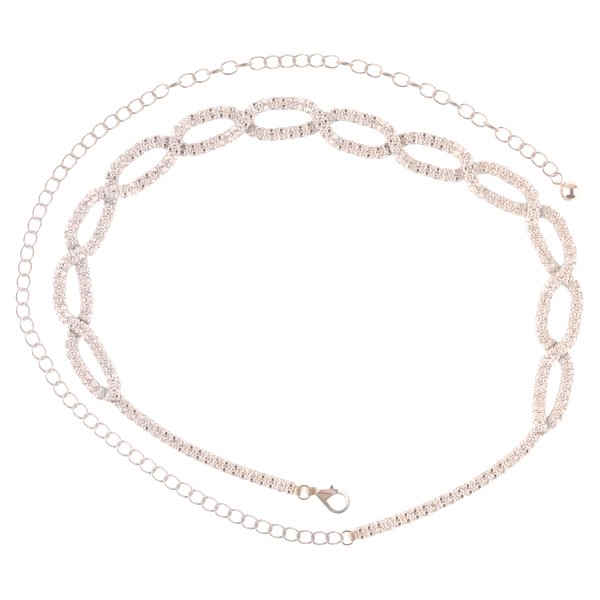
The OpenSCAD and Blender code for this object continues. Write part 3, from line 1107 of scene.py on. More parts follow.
@dataclass
class StoneStrips:
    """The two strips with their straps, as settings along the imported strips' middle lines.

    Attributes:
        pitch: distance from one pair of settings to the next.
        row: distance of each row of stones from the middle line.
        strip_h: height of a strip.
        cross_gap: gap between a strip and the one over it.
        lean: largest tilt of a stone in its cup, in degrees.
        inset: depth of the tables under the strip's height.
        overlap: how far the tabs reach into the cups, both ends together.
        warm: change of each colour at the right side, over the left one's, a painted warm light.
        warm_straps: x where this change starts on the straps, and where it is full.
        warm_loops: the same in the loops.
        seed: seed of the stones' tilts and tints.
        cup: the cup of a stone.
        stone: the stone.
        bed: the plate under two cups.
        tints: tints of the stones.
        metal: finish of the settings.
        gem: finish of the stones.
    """

    pitch: float = 4.08
    row: float = 1.35
    strip_h: float = 2.2
    cross_gap: float = 0.15
    lean: float = 4.0
    inset: float = 0.05
    overlap: float = 0.4
    warm: tuple[float, float, float] = (0.04, 0.015, -0.02)
    warm_straps: tuple[float, float] = (-75.0, 0.0)
    warm_loops: tuple[float, float] = (-60.0, 60.0)
    seed: int = 7
    cup: Cup = field(default_factory=Cup)
    stone: CutStone = field(default_factory=CutStone)
    bed: Bed = field(default_factory=Bed)
    tints: StoneTints = StoneTints()
    metal: PlatedMetal = PlatedMetal(
        "rose_plate_settings", (0.85, 0.81, 0.82), (0.88, 0.77, 0.73), rough=(0.3, 0.45),
        grain=220.0, toned=True)
    gem: FoiledStone = FoiledStone("clear_stone_on_foil", (0.78, 0.73, 0.725))

    def over_start(self, k: int, side: Side) -> bool:
        """Whether the strip on this side of loop k passes over at the loop's start."""
        return -side.value * LOOPS[k, 6] > 0

    def over_end(self, k: int, side: Side) -> bool:
        """Whether the strip on this side of loop k passes over at the loop's end."""
        return side.value * LOOPS[k + 1, 6] > 0

    def side_points(self, k: int, side: Side) -> Array:
        """Points of a strip between two crossings.

        At share f of the straight line the strip bows out by its bow there times
        1 - |2f - 1|^4, and lies as high as the ramps from the crossings ask.

        Args:
            k: the loop.
            side: the side on which the strip runs.

        Returns:
            The crossing's point and the points after it.
        """
        lift = self.strip_h + self.cross_gap
        # Shares of the line where the points lie
        f = np.array([0.12, 0.3, 0.5, 0.7, 0.88])
        a, b = LOOPS[k, :2], LOOPS[k + 1, :2]
        near, far = LOOPS[k, 2:4] if side is Side.OUTER else -LOOPS[k, 4:6]
        bow = (near + (far - near) * f) * (1 - abs(2 * f - 1) ** 4)
        plan = a + (b - a) * f[:, None] + turned_left(unit(b - a)) * bow[:, None]
        # A ramp's height, as a share of the lift, at shares of the line from its crossing
        ramp_f, ramp_z = [0, 0.12, 0.3, 0.5], [1, 1, 0.15, 0]
        z = lift * np.maximum(
            self.over_start(k, side) * np.interp(f, ramp_f, ramp_z),
            self.over_end(k, side) * np.interp(1 - f, ramp_f, ramp_z))
        start = [[*a, lift * self.over_start(k, side)]]
        return np.vstack([start, with_height(plan, z)])

    def loops_of(self, strip: int) -> Array:
        """Route of strip 0 or 1 through all the loops: it is outside in every other one."""
        return np.vstack([
            self.side_points(k, Side.OUTER if (k + strip) % 2 == 0 else Side.INNER)
            for k in range(len(LOOPS) - 1)])

    def lines(self) -> tuple[tuple[Array, int], tuple[Array, int]]:
        """Middle lines of the two strips.

        Returns:
            For each strip its points and the number of the point where strap and strand meet.
        """
        lift = self.strip_h + self.cross_gap
        a = np.vstack([with_height(LEFT_STRAP, 0), self.loops_of(0), with_height(CUT_END_A, lift)])
        b = np.vstack([with_height(CUT_END_B, lift), self.loops_of(1)[1:],
                       with_height(LOOPS[-1:, :2], 0), with_height(RIGHT_STRAP, 0)])
        line_a, line_b = smooth_curve(a, STRIP_STEPS), smooth_curve(b, STRIP_STEPS)
        for line in (line_a, line_b):
            line[:, 2] = np.clip(line[:, 2], 0, lift)
        return ((line_a, len(LEFT_STRAP) * STRIP_STEPS),
                (line_b, len(line_b) - 1 - len(RIGHT_STRAP) * STRIP_STEPS))

    def settings(self, line: Array, seam: int) -> tuple[Frames, Array, Frames, Array]:
        """Frames of a strip's settings and of the tabs between them.

        Args:
            line: the middle line.
            seam: number of the point where strap and strand meet.

        Returns:
            Frames of the settings, whether each lies before the seam, and the same for the tabs.
        """
        runs = run_along(line)
        count = round(runs[-1] / self.pitch)
        step = runs[-1] / count
        return (*self.frames_at(line, step * (np.arange(count) + 0.5), step, runs[seam]),
                *self.frames_at(line, step * (np.arange(count - 1) + 1), step, runs[seam]))

    @staticmethod
    def frames_at(line: Array, at: Array, step: float, seam: float) -> tuple[Frames, Array]:
        """Frames at distances along a line, and whether each is before the seam."""
        ahead = places_at(line, at + step / 2) - places_at(line, at - step / 2)
        return Frames.along(places_at(line, at), ahead), at < seam

    def leaned(self, frames: Frames, rng: np.random.Generator) -> Frames:
        """Frames with each up axis tilted a little, as stones sit in their cups.

        Args:
            frames: the settings' frames.
            rng: source of the tilts.

        Returns:
            Frames with the up axis z + a x + b y for two small a and b, and with the axis ahead
            turned about it by up to an eighth of a half turn.
        """
        tilt = np.radians(self.lean) * rng.uniform(-1, 1, (len(frames.origin), 2))
        spin = rng.uniform(-np.pi / 8, np.pi / 8, len(frames.origin))
        x, y, z = (frames.axes[:, k] for k in range(3))
        up = unit(z + tilt[:, :1] * x + tilt[:, 1:] * y)
        ahead = np.cos(spin)[:, None] * x + np.sin(spin)[:, None] * y
        left = unit(np.cross(up, ahead))
        return Frames(frames.origin, np.stack([np.cross(left, up), left, up], axis=1))

    def painted_warm_light(self, points: Array) -> Array:
        """Share of each colour: painted warm light, warmer from left to right.

        Args:
            points: (n, 3) points.

        Returns:
            (n, 3) shares.
        """
        x, y = points[:, :1], points[:, 1:2]
        right = np.where(y < STRAP_Y, climb(x, *self.warm_straps), climb(x, *self.warm_loops))
        return 1 + right * np.array(self.warm)

    def parts(self) -> tuple[Shape, Shape, Shape]:
        """What is repeated along the strips.

        Returns:
            A bed with its two cups, the two tabs to the next bed, and a stone.
        """
        def pair(shape: Shape) -> Shape:
            """The shape once in each row."""
            return joined(shape.moved((0, self.row, 0)), shape.moved((0, -self.row, 0)))

        tab = self.bed.tab(self.pitch - 2 * self.cup.half_length + self.overlap)
        stone = self.stone.shape().moved((0, 0, self.strip_h - self.stone.crown - self.inset))
        return joined(self.bed.plate(), pair(self.cup.shape())), pair(tab), stone

    def build(self) -> list[bpy.types.Object]:
        """All settings and stones.

        Returns:
            A piece of settings and a piece of stones for each packed strip node.
        """
        metal, gem = self.metal.build(), self.gem.build()
        rng = np.random.default_rng(self.seed)
        bed, tabs, stone = self.parts()
        (line_a, seam_a), (line_b, seam_b) = self.lines()
        pieces = []
        for line, seam, before, after in (
                (line_a, seam_a, "strap_left", "strand_a"),
                (line_b, seam_b, "strand_b", "strap_right")):
            frames, first, tab_frames, tab_first = self.settings(line, seam)
            for node, mask, tab_mask in ((before, first, tab_first), (after, ~first, ~tab_first)):
                here = frames.chosen(mask)
                shape = joined(bed.at(here), tabs.at(tab_frames.chosen(tab_mask)))
                # Painted warm light from left to right on the settings and the stones
                settings = make_piece(
                    f"{node}_settings", shape.shaded(self.painted_warm_light), Shade.ROUNDED)
                aside = self.row * here.axes[:, 1]
                rows = Frames(
                    np.vstack([here.origin + aside, here.origin - aside]),
                    np.vstack([here.axes, here.axes]))
                cut = self.tints.toned(stone.at(self.leaned(rows, rng)), rng)
                stones = make_piece(f"{node}_stones", cut.shaded(self.painted_warm_light), Shade.FACETED)
                pieces += [fitted(settings, metal, CHAIN_BODY, "settings", node),
                           fitted(stones, gem, CHAIN_BODY, "settings")]
        return pieces


@dataclass
class ExtensionChain:
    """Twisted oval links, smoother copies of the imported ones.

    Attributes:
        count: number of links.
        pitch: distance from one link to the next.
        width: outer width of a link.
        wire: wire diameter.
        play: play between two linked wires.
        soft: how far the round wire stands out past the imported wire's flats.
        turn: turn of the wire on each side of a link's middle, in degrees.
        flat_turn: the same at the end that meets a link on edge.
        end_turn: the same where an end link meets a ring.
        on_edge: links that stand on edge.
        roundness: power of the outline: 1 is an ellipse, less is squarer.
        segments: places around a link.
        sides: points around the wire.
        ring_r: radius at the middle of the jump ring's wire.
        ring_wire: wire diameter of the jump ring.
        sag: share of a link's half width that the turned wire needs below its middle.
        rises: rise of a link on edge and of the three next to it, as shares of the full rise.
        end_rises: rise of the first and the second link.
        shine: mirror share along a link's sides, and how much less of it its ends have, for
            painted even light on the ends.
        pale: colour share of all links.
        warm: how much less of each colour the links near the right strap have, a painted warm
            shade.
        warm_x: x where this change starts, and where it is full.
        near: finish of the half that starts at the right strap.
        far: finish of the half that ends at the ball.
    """

    count: int = 77
    pitch: float = 6.11
    width: float = 6.1
    wire: float = 0.85
    play: float = 0.15
    soft: float = 0.045
    turn: float = 35.0
    flat_turn: float = 15.0
    end_turn: float = 55.0
    on_edge: tuple[int, ...] = (49, 52, 54, 61, 64, 66, 69, 72)
    roundness: float = 0.83
    segments: int = 32
    sides: int = 10
    ring_r: float = 2.9
    ring_wire: float = 0.9
    sag: float = 0.67
    rises: tuple[float, ...] = (1, 0.7, 0.25, 0)
    end_rises: tuple[float, ...] = (0.35, 0.18, 0)
    shine: tuple[float, float] = (0.85, 0.45)
    pale: float = 1.04
    warm: tuple[float, float, float] = (0.17, 0.18, 0.2)
    warm_x: tuple[float, float] = (-70.0, 0.0)
    near: PlatedMetal = PlatedMetal(
        "rose_plate_links", (0.66, 0.61, 0.61), (0.68, 0.6, 0.58), rough=(0.15, 0.3), toned=True)
    far: PlatedMetal = PlatedMetal(
        "warm_plate_links", (0.62, 0.56, 0.53), (0.65, 0.54, 0.49), rough=(0.15, 0.3), toned=True)

    def heights(self) -> Array:
        """Height of each link's middle: higher at and near links on edge, and at the two ends.

        Returns:
            (count,) heights.
        """
        side = (self.width - self.wire) / 2
        low = self.wire / 2 + self.sag * side * np.sin(np.radians(self.turn))
        edge_rise = self.wire / 2 + side - low
        i = np.arange(1, self.count + 1)
        away = abs(i[:, None] - np.array(self.on_edge)[None]).min(axis=1)
        rise = edge_rise * np.interp(away, np.arange(len(self.rises)), self.rises)
        ends = np.minimum(i - 1, self.count - i)
        end_rise = np.interp(ends, np.arange(len(self.end_rises)), self.end_rises)
        return low + np.maximum(rise, end_rise)

    def turns(self) -> tuple[Array, Array]:
        """Turn of the wire at both ends of each link.

        Returns:
            (count,) angles in radians at the starts, and at the ends.
        """
        i = np.arange(1, self.count + 1)
        edge = np.isin(i, self.on_edge)
        start = np.where(np.isin(i - 1, self.on_edge), -self.flat_turn, -self.turn)
        end = np.where(np.isin(i + 1, self.on_edge), self.flat_turn, self.turn)
        start[0], end[-1] = -self.end_turn, self.end_turn
        return (np.radians(np.where(edge, 90.0, start)), np.radians(np.where(edge, 90.0, end)))

    def frames(self) -> Frames:
        """Frames of the links along the chain's route.

        Returns:
            The middle of each link, with its axis towards the next one.
        """
        half = (self.pitch + self.wire + self.play) / 2
        route = np.vstack([[centre_of("ring_right")[:2]], CHAIN_ROUTE])
        line = smooth_curve(route, CHAIN_STEPS)
        first = self.ring_r + half - self.wire / 2 - self.ring_wire / 2 - 2 * self.play
        runs = first + np.arange(self.count) * self.pitch
        at = with_height(places_at(line, runs), self.heights())
        padded = np.vstack([at[:1], at, at[-1:]])
        return Frames.along(at, padded[2:] - padded[:-2])

    def outline(self, t: Array, start: Array, end: Array) -> tuple[Array, Array]:
        """Middle of the wire at angles t, and the direction square to the link's surface.

        x is the half length times cos t and y the half width times sin t, each raised to the
        roundness. The wire's turn a goes evenly from start to end with x, and the point is
        (x, y cos a, y sin a).

        Args:
            t: (segments,) angles.
            start: (links,) turns at the start.
            end: (links,) turns at the end.

        Returns:
            Two arrays (links, segments, 3).
        """
        half = (self.pitch + self.wire + self.play) / 2
        side = (self.width - self.wire) / 2
        c, s = np.cos(t), np.sin(t)
        x = np.sign(c) * abs(c) ** self.roundness
        y = side * np.sign(s) * abs(s) ** self.roundness
        a = start[:, None] + (end - start)[:, None] * (x[None] + 1) / 2
        middle = np.stack([np.broadcast_to(half * x, a.shape), y * np.cos(a), y * np.sin(a)], -1)
        return middle, np.stack([np.zeros_like(a), -np.sin(a), np.cos(a)], -1)

    def rings(self) -> Array:
        """Sections of every link's wire, in the link's own frame.

        A point is the wire's middle + r (cos q n1 + sin q n2), with n1 and n2 square to the wire
        and to each other.

        Returns:
            (links, segments, sides, 3) points.
        """
        t = (np.arange(self.segments) + 0.5) * 2 * np.pi / self.segments
        middle, normal = self.outline(t, *self.turns())
        along = unit(np.roll(middle, -1, axis=1) - np.roll(middle, 1, axis=1))
        n1 = unit(normal - (normal * along).sum(-1, keepdims=True) * along)
        n2 = np.cross(along, n1)
        q = np.arange(self.sides) * 2 * np.pi / self.sides
        return middle[:, :, None] + (self.wire / 2 + self.soft) * (
            np.cos(q)[:, None] * n1[:, :, None] + np.sin(q)[:, None] * n2[:, :, None])

    def painted_warm_light(self, points: Array) -> Array:
        """Share of each colour: painted warm shade, warmer and darker towards the right strap.

        Args:
            points: (n, 3) points.

        Returns:
            (n, 3) shares.
        """
        near = climb(points[:, :1], *self.warm_x) * (points[:, 1:2] < 0)
        return self.pale - near * np.array(self.warm)

    def build(self) -> list[bpy.types.Object]:
        """Both halves of the chain.

        A link's ends mirror less than its sides, by the fourth power of the cosine: painted even
        light in place of the dim ceiling's reflection.

        Returns:
            The two pieces.
        """
        frames, rings = self.frames(), self.rings()
        half = self.count // 2
        t = (np.arange(self.segments) + 1) * 2 * np.pi / self.segments
        side, less = self.shine
        # Painted light: the ends lose mirror shine and look evenly lit
        tones = np.stack([tone(1.0, mirror) for mirror in side - less * abs(np.cos(t)) ** 4])
        pieces = []
        for node, first, last, finish in (
                ("chain_near", 0, half, self.near), ("chain_far", half, self.count, self.far)):
            links = [
                banded(frames.origin[i] + rings[i] @ frames.axes[i], wrapped=True, capped=False)
                .toned(tones) for i in range(first, last)]
            # Painted warm shade towards the right strap
            shape = joined(*links).shaded(self.painted_warm_light)
            piece = make_piece(f"{node}_links", shape, Shade.ROUNDED)
            pieces.append(fitted(piece, finish.build(), CHAIN_BODY, "links", node))
        return pieces


@dataclass
class RingFit:
    """Sizes that the jump rings share with the slots they pass through.

    Attributes:
        radius: radius at the middle of the wire.
        wire: wire diameter.
        play: play in a slot, on each side.
        wall: metal around a slot.
    """

    radius: float = 2.9
    wire: float = 0.9
    play: float = 0.12
    wall: float = 0.45

    def bend(self, width: float) -> float:
        """How far the ring's inner edge bends across a slot of the given width."""
        inner = self.radius - self.wire / 2
        return inner - float(np.sqrt(inner**2 - (width / 2) ** 2))

    def slot_len(self, width: float) -> float:
        """Length of a slot of the given width."""
        return self.wire + self.bend(width) + 2 * self.play

    @property
    def slot_h(self) -> float:
        """Height of a slot."""
        return self.wire + 2 * self.play

    def slot_from_ring(self, width: float) -> float:
        """Distance from the ring's middle to the middle of a slot of the given width."""
        return self.radius - self.bend(width) / 2


@dataclass(frozen=True)
class FoldedLoop:
    """Band folded round a slot, with softened edges.

    Attributes:
        width: width of the band.
        length: outer length.
        back: how far the outer outline lies back from the slot's middle.
        soft: width of the softened edges.
        crown: height of the band's middle over its edges.
    """

    width: float
    length: float
    back: float = 0.0
    soft: float = 0.14
    crown: float = 0.25

    @staticmethod
    def oval(length: float, height: float, middle: float) -> Array:
        """Outline in x and z of two half circles joined by straight lines.

        Args:
            length: its length.
            height: its height.
            middle: x of its middle.

        Returns:
            Points in a left turn.
        """
        r, x = height / 2, (length - height) / 2
        return np.vstack([
            arc(np.array([middle + x, 0.0]), r, -90, 90, SMALL_ARC_STEP),
            arc(np.array([middle - x, 0.0]), r, 90, 270, SMALL_ARC_STEP)])

    def shape(self, fit: RingFit) -> Shape:
        """The band as a section carried round the slot.

        A section runs from the slot's wall to the outer face and across the band. The outer
        face is crowned: its height over the edge is the crown times 1 - (2y/width)^2.

        Args:
            fit: sizes of the ring that passes through.

        Returns:
            The closed band, with the slot's middle at the origin.
        """
        inner = self.oval(fit.slot_len(self.width), fit.slot_h, 0.0)
        outer = self.oval(self.length, fit.slot_h + 2 * fit.wall - 2 * self.crown, -self.back)
        # Places across the band, and their share of the way from the slot's wall outwards
        half, c = self.width / 2, self.soft
        y = np.array([-half + c, -half, -half, -half + c, -half / 2, 0, half / 2, half - c,
                      half, half, half - c])
        share = np.array([0, 0.25, 0.7, 1, 1, 1, 1, 1, 0.7, 0.25, 0])
        ring = inner[:, None] + (outer - inner)[:, None] * share[None, :, None]
        out = unit(outer - inner)[:, None]
        ring = ring + out * (self.crown * (share == 1) * (1 - (y / half) ** 2))[None, :, None]
        points = np.stack(
            [ring[..., 0], np.broadcast_to(y, ring.shape[:2]), ring[..., 1]], axis=2)
        return banded(points, wrapped=True, capped=False)


@dataclass
class EndLoops:
    """The two folded loops at the ends of the straps.

    Attributes:
        width: width of their bands.
        fit: sizes of the jump rings and their slots.
        left: finish of the left one.
        right: finish of the right one.
    """

    width: float = 3.8
    fit: RingFit = field(default_factory=RingFit)
    left: PlatedMetal = PlatedMetal(
        "gold_rose_loop", (0.84, 0.7, 0.58), (0.82, 0.64, 0.5), rough=(0.22, 0.38), metallic=0.85)
    right: PlatedMetal = PlatedMetal(
        "pale_rose_loop", (0.84, 0.72, 0.64), (0.82, 0.66, 0.56), rough=(0.22, 0.38),
        metallic=0.85)

    def build(self) -> list[bpy.types.Object]:
        """Both loops, placed by their jump rings.

        Returns:
            The two pieces.
        """
        loop = FoldedLoop(self.width, self.fit.slot_len(self.width) + 2 * self.fit.wall)
        shape = loop.shape(self.fit)
        pieces = []
        for node, ring, strap, finish in (
                ("end_loop_left", "ring_left", LEFT_STRAP[:2], self.left),
                ("end_loop_right", "ring_right", RIGHT_STRAP[:-3:-1], self.right)):
            ahead = unit(strap[0] - strap[1])
            at = centre_of(ring)
            at[:2] -= ahead * self.fit.slot_from_ring(self.width)
            at[2] = centre_of(node)[2]
            piece = make_piece(
                f"{node}_band", placed(shape, at, azimuth(ahead)), Shade.ROUNDED)
            pieces.append(fitted(piece, finish.build(), CHAIN_BODY, "end_loops", node))
        return pieces


@dataclass(frozen=True)
class ClaspPaintedLight:
    """Painted light and shade on the parts of the clasp, as shares of their colours.

    Attributes:
        bow: mean share of the bow, and its change round the bow.
        lightest: direction of the painted light, in which the bow is lightest, in degrees.
        across: change across the bow.
        outer_dark: direction in which painted shade makes the bow's outer edge darkest, in
            degrees; on the other side of the bow its inner edge is.
        arm: how dark painted shade makes the arm at its lower edge.
        arm_width: width over which it does.
        arm_x: x from the bow's middle where the arm starts, and where it is full.
        cheek: share of the cheek, a painted shade.
        cheek_x: x from the bow's middle where the cheek starts, and where it is full.
        brown: how much less of each colour the cheek's painted shade has, which makes it browner.
        brown_arm: how much less brown the arm's lower edge is.
        lever: share of the lever.
        tab: how much darker painted shade makes its thumb tab.
        tab_y: y where the tab starts, and where it is full.
        back: how much darker painted shade makes its back end.
        back_x: x where the back end starts, and where it is full.
    """

    bow: tuple[float, float] = (0.86, 0.22)
    lightest: float = 110.0
    across: float = 0.62
    outer_dark: float = -30.0
    arm: float = 0.65
    arm_width: float = 1.9
    arm_x: tuple[float, float] = (-0.5, -2.0)
    cheek: float = 0.75
    cheek_x: tuple[float, float] = (-2.0, -4.0)
    brown: tuple[float, float, float] = (0.2, 0.36, 0.48)
    brown_arm: float = 0.7
    lever: float = 0.8
    tab: float = 0.57
    tab_y: tuple[float, float] = (4.3, 4.9)
    back: float = 0.3
    back_x: tuple[float, float] = (5.6, 3.4)


@dataclass
class Clasp:
    """Lobster clasp in its own frame: the eye's slot at the origin and the bow along +X.

    Attributes:
        thick: thickness of the hook.
        bow: middle and radius of the bow's outline.
        mouth: middle and radius of its opening.
        taper: how far the opening tapers past its round part.
        nose: points of the nose, from above.
        cheek: tips of the cheeks, from below.
        pivot: place of the hinge pin.
        hub: radius of the lever's hub.
        hub_arc: azimuths between which the hub is round.
        slot_start: where the floor of the lever's slot starts, from the opening's point.
        slot_back: y of the upper end of the slot's back wall.
        tip_back: how far the hook's tip lies behind the bow's middle.
        tip_way: direction of the tip's end face.
        lever_t: thickness of the lever.
        gap: gap on each side of the lever.
        tip_gap: gap between the tip and the lever's end.
        lever_end: length of the lever's end face.
        lever_low: points of the lever's lower edge.
        tab: points of the thumb tab and the upper edge.
        lever_back: back corner of the lever.
        neck: corners of the neck between eye and nose.
        turn: azimuth of the clasp, and of its eye from the ring.
        eye_width: width of the eye.
        eye_length: length of the eye.
        pin: radius of the rivet's head.
        shank: radius of the pin between the two heads.
        dome: how far the head's rim lies under the hook's face, and its rise.
        soft: rounding of the hook's outer edges.
        core_edge: edge of the hook's middle layer, all but sharp.
        lever_soft: rounding of the lever's edges.
        neck_soft: rounding of the neck's edges.
        fit: sizes of the jump ring and its slot.
        light: painted light and shade on its parts.
        body: finish of the hook.
        gold: finish of the eye and the rivet.
        rose: finish of the lever.
    """

    thick: float = 2.6
    bow: tuple[float, float, float] = (12.4, 0.7, 5.1)
    mouth: tuple[float, float, float] = (12.75, 0.35, 3.6)
    taper: tuple[float, float] = (1.7, 1.45)
    nose: tuple[tuple[float, float], ...] = ((3.9, 1.1), (3.35, 0.8), (3.35, -0.65))
    cheek: tuple[tuple[float, float], ...] = ((9.1, 1.6), (8.3, 2.7))
    pivot: tuple[float, float] = (4.8, 0.35)
    hub: float = 0.9
    hub_arc: tuple[float, float] = (150.0, 280.0)
    slot_start: tuple[float, float] = (-0.1, 0.15)
    slot_back: float = 1.0
    tip_back: float = 2.25
    tip_way: float = 131.0
    lever_t: float = 1.1
    gap: float = 0.1
    tip_gap: tuple[float, float] = (0.12, 0.15)
    lever_end: float = 1.85
    lever_low: tuple[tuple[float, float], ...] = ((8.9, 1.5), (10.2, 2.95))
    tab: tuple[tuple[float, float], ...] = (
        (9.4, 4.95), (8.6, 4.6), (7.95, 6.3), (7.4, 6.15), (7.05, 4.0), (6.9, 3.92))
    lever_back: tuple[float, float] = (3.4, 2.1)
    neck: tuple[tuple[float, float], ...] = ((2.4, -0.6), (3.6, 0.7))
    turn: tuple[float, float] = (-23.0, 9.0)
    eye_width: float = 3.4
    eye_length: float = 4.2
    pin: float = 0.55
    shank: float = 0.4
    dome: tuple[float, float] = (0.02, 0.06)
    soft: Rounding = Rounding(0.62, 0.6)
    core_edge: Rounding = Rounding(0.01, 0.0, 1)
    lever_soft: Rounding = Rounding(0.4, 0.35)
    neck_soft: Rounding = Rounding(0.3, 0.3)
    fit: RingFit = field(default_factory=RingFit)
    light: ClaspPaintedLight = ClaspPaintedLight()
    body: PlatedMetal = PlatedMetal(
        "rose_clasp", (0.88, 0.81, 0.77), (0.88, 0.79, 0.73), rough=(0.2, 0.35), toned=True)
    gold: PlatedMetal = PlatedMetal(
        "gold_rose_eye", (0.8, 0.65, 0.53), (0.78, 0.59, 0.45), rough=(0.22, 0.38), metallic=0.85)
    rose: PlatedMetal = PlatedMetal(
        "rose_lever", (0.88, 0.66, 0.63), (0.84, 0.6, 0.56), rough=(0.15, 0.3), toned=True)

    def tip(self) -> Array:
        """Tip of the hook, on the bow's outline."""
        x, y, r = self.bow
        return np.array([x - self.tip_back, y + np.sqrt(r**2 - self.tip_back**2)])

    def mouth_tip(self) -> Array:
        """Point of the opening towards the hinge."""
        return np.array(self.mouth[:2]) - [self.mouth[2], 0] - np.array(self.taper)

    def inner_edge(self) -> Array:
        """Edge of the opening, from the hook's end face round to its point.

        The end face meets the opening's circle where |tip + t w - middle| equals its radius,
        with w along the end face.

        Returns:
            Points in order.
        """
        middle, r = np.array(self.mouth[:2]), self.mouth[2]
        way, to = -heading(self.tip_way), self.tip() - middle
        b = float(to @ way)
        end = self.tip() + way * (-b - np.sqrt(b * b - float(to @ to) + r * r))
        low = touch(self.mouth_tip(), middle, r, -1)
        start = azimuth(end - middle)
        return np.vstack([
            arc(middle, r, start, low if low < start else low - 360), [self.mouth_tip()]])

    def outer_edge(self) -> Array:
        """Edge from the nose along the straight arm and round the bow to the tip.

        Returns:
            Points in order.
        """
        middle, r = np.array(self.bow[:2]), self.bow[2]
        nose = np.array(self.nose[2])
        low = touch(nose, middle, r, -1)
        end = azimuth(self.tip() - middle)
        return np.vstack([[nose], arc(middle, r, low if low < end else low - 360, end)])

    def side_plate(self) -> Shape:
        """Upper cheek with the upper face of the bow, in one plate.

        Returns:
            The closed plate.
        """
        outline = np.vstack([
            self.outer_edge(), self.inner_edge(), np.array(self.cheek),
            np.array(self.nose[:2])])
        return plate(outline, self.lever_t / 2 + self.gap, self.thick / 2, self.soft, None)

    def core(self) -> Shape:
        """Middle layer of the bow, the arm and the nose, around the lever's slot.

        Returns:
            The closed plate.
        """
        # The slot's floor and back wall keep clear of the lever's hub
        px, py = self.pivot
        floor, back = py - self.hub - self.gap, px - self.hub - self.gap
        start = self.mouth_tip() + np.array(self.slot_start)
        outline = np.vstack([
            self.outer_edge(), self.inner_edge(),
            [start, [px, floor], [back, floor], [back, self.slot_back], self.nose[1]]])
        half = self.lever_t / 2 + self.gap
        return plate(outline, -half, half, self.core_edge, None)

    def lever(self) -> Shape:
        """Lever with its hub and thumb tab.

        Returns:
            The closed plate.
        """
        end = self.tip() - np.array(self.tip_gap)
        outline = np.vstack([
            arc(np.array(self.pivot), self.hub, *self.hub_arc, SMALL_ARC_STEP), self.lever_low,
            [end - self.lever_end * heading(self.tip_way), end], self.tab, [self.lever_back]])
        half = self.lever_t / 2
        return plate(outline, -half, half, self.lever_soft, self.lever_soft)

    def eye(self) -> Shape:
        """Eye with the neck that joins it to the nose.

        Returns:
            The two closed shapes as one, without tones.
        """
        back = self.eye_length - self.fit.wall - self.fit.slot_len(self.eye_width) / 2
        loop = FoldedLoop(
            self.eye_width, self.eye_length, self.eye_length / 2 - back).shape(self.fit)
        (x0, y0), (x1, y1) = self.neck
        half = self.fit.slot_h / 2 + self.fit.wall
        neck = plate(
            np.array([[x0, y0], [x1, y0], [x1, y1], [x0, y1]]), -half, half,
            self.neck_soft, self.neck_soft)
        return joined(
            placed(loop, np.zeros(3), self.turn[1] - self.turn[0]),
            Shape(neck.points, neck.faces))

    def rivet(self) -> Shape:
        """Hinge pin with a low domed head at both ends.

        At angle q from its middle a head has the radius pin times sin q, and rises by the dome's
        rise times cos q.

        Returns:
            The closed rivet.
        """
        q = np.radians([22.5, 45.0, 67.5])
        radii, z = self.pin * np.sin(q), self.thick / 2 - self.dome[0] + self.dome[1] * np.cos(q)
        under = self.thick / 2 - self.gap
        t = np.arange(24) * np.pi / 12
        rings = np.stack([level_ring(t, radius, height) for radius, height in zip(
            [*radii, self.shank, self.shank, *radii[::-1]], [*-z, -under, under, *z[::-1]])])
        return banded(rings, wrapped=False, capped=True).moved((*self.pivot, 0.0))

    def bow_painted_light(self, points: Array) -> Array:
        """Colour shares of the hook, painted light and shade: a pale bow, a browner cheek and a
        darker arm.

        Round the bow the share goes with the cosine of the direction from the lightest one.
        Across it the share falls outwards with the cosine of the direction from the one in
        which the outer edge is darkest. The arm darkens towards its lower edge, a straight line
        from the nose.

        Args:
            points: (n, 3) points in the clasp's frame.

        Returns:
            (n, 3) shares.
        """
        light = self.light
        x, y = points[:, 0] - self.bow[0], points[:, 1] - self.bow[1]
        way = np.arctan2(y, x)
        middle, half = (self.mouth[2] + self.bow[2]) / 2, (self.bow[2] - self.mouth[2]) / 2
        across = ((np.hypot(x, y) - middle) / half).clip(-1, 1)
        mean, change = light.bow
        bow = mean + change * np.cos(way - np.radians(light.lightest))
        bow = bow - light.across * across * np.cos(way - np.radians(light.outer_dark))
        nose, low = self.outer_edge()[:2]
        edge = nose[1] + (points[:, 0] - nose[0]) * (low[1] - nose[1]) / (low[0] - nose[0])
        arm = climb(points[:, 1] - edge, light.arm_width, 0.0) * climb(x, *light.arm_x)
        bow = np.where(x < light.cheek_x[0], light.cheek, bow) * (1 - light.arm * arm)
        cheek = climb(x, *light.cheek_x) * (1 - light.brown_arm * arm)
        return bow[:, None] * (1 - cheek[:, None] * np.array(light.brown))

    def lever_painted_light(self, points: Array) -> Array:
        """Colour share of the lever, painted shade: its thumb tab is dark, and its back end a
        little.

        Args:
            points: (n, 3) points in the clasp's frame.

        Returns:
            (n, 1) shares.
        """
        light = self.light
        tab, back = climb(points[:, 1:2], *light.tab_y), climb(points[:, :1], *light.back_x)
        return light.lever - light.tab * tab - light.back * back

    def in_place(self, name: str, shape: Shape) -> bpy.types.Object:
        """Piece at the clasp's place on the left jump ring.

        Args:
            name: the piece's name.
            shape: its shape in the clasp's frame.

        Returns:
            The new object.
        """
        at = centre_of("ring_left")
        at[:2] += heading(self.turn[1]) * self.fit.slot_from_ring(self.eye_width)
        return make_piece(name, placed(shape, at, self.turn[0]), Shade.ROUNDED)

    def build(self) -> list[bpy.types.Object]:
        """The hook, its eye and rivet, and the lever.

        Returns:
            The four pieces.
        """
        upper = self.side_plate()
        # Painted light and shade over the hook: a pale bow, a shaded cheek and arm
        hook = joined(upper, upper.mirrored(1, 1, -1), self.core()).shaded(self.bow_painted_light)
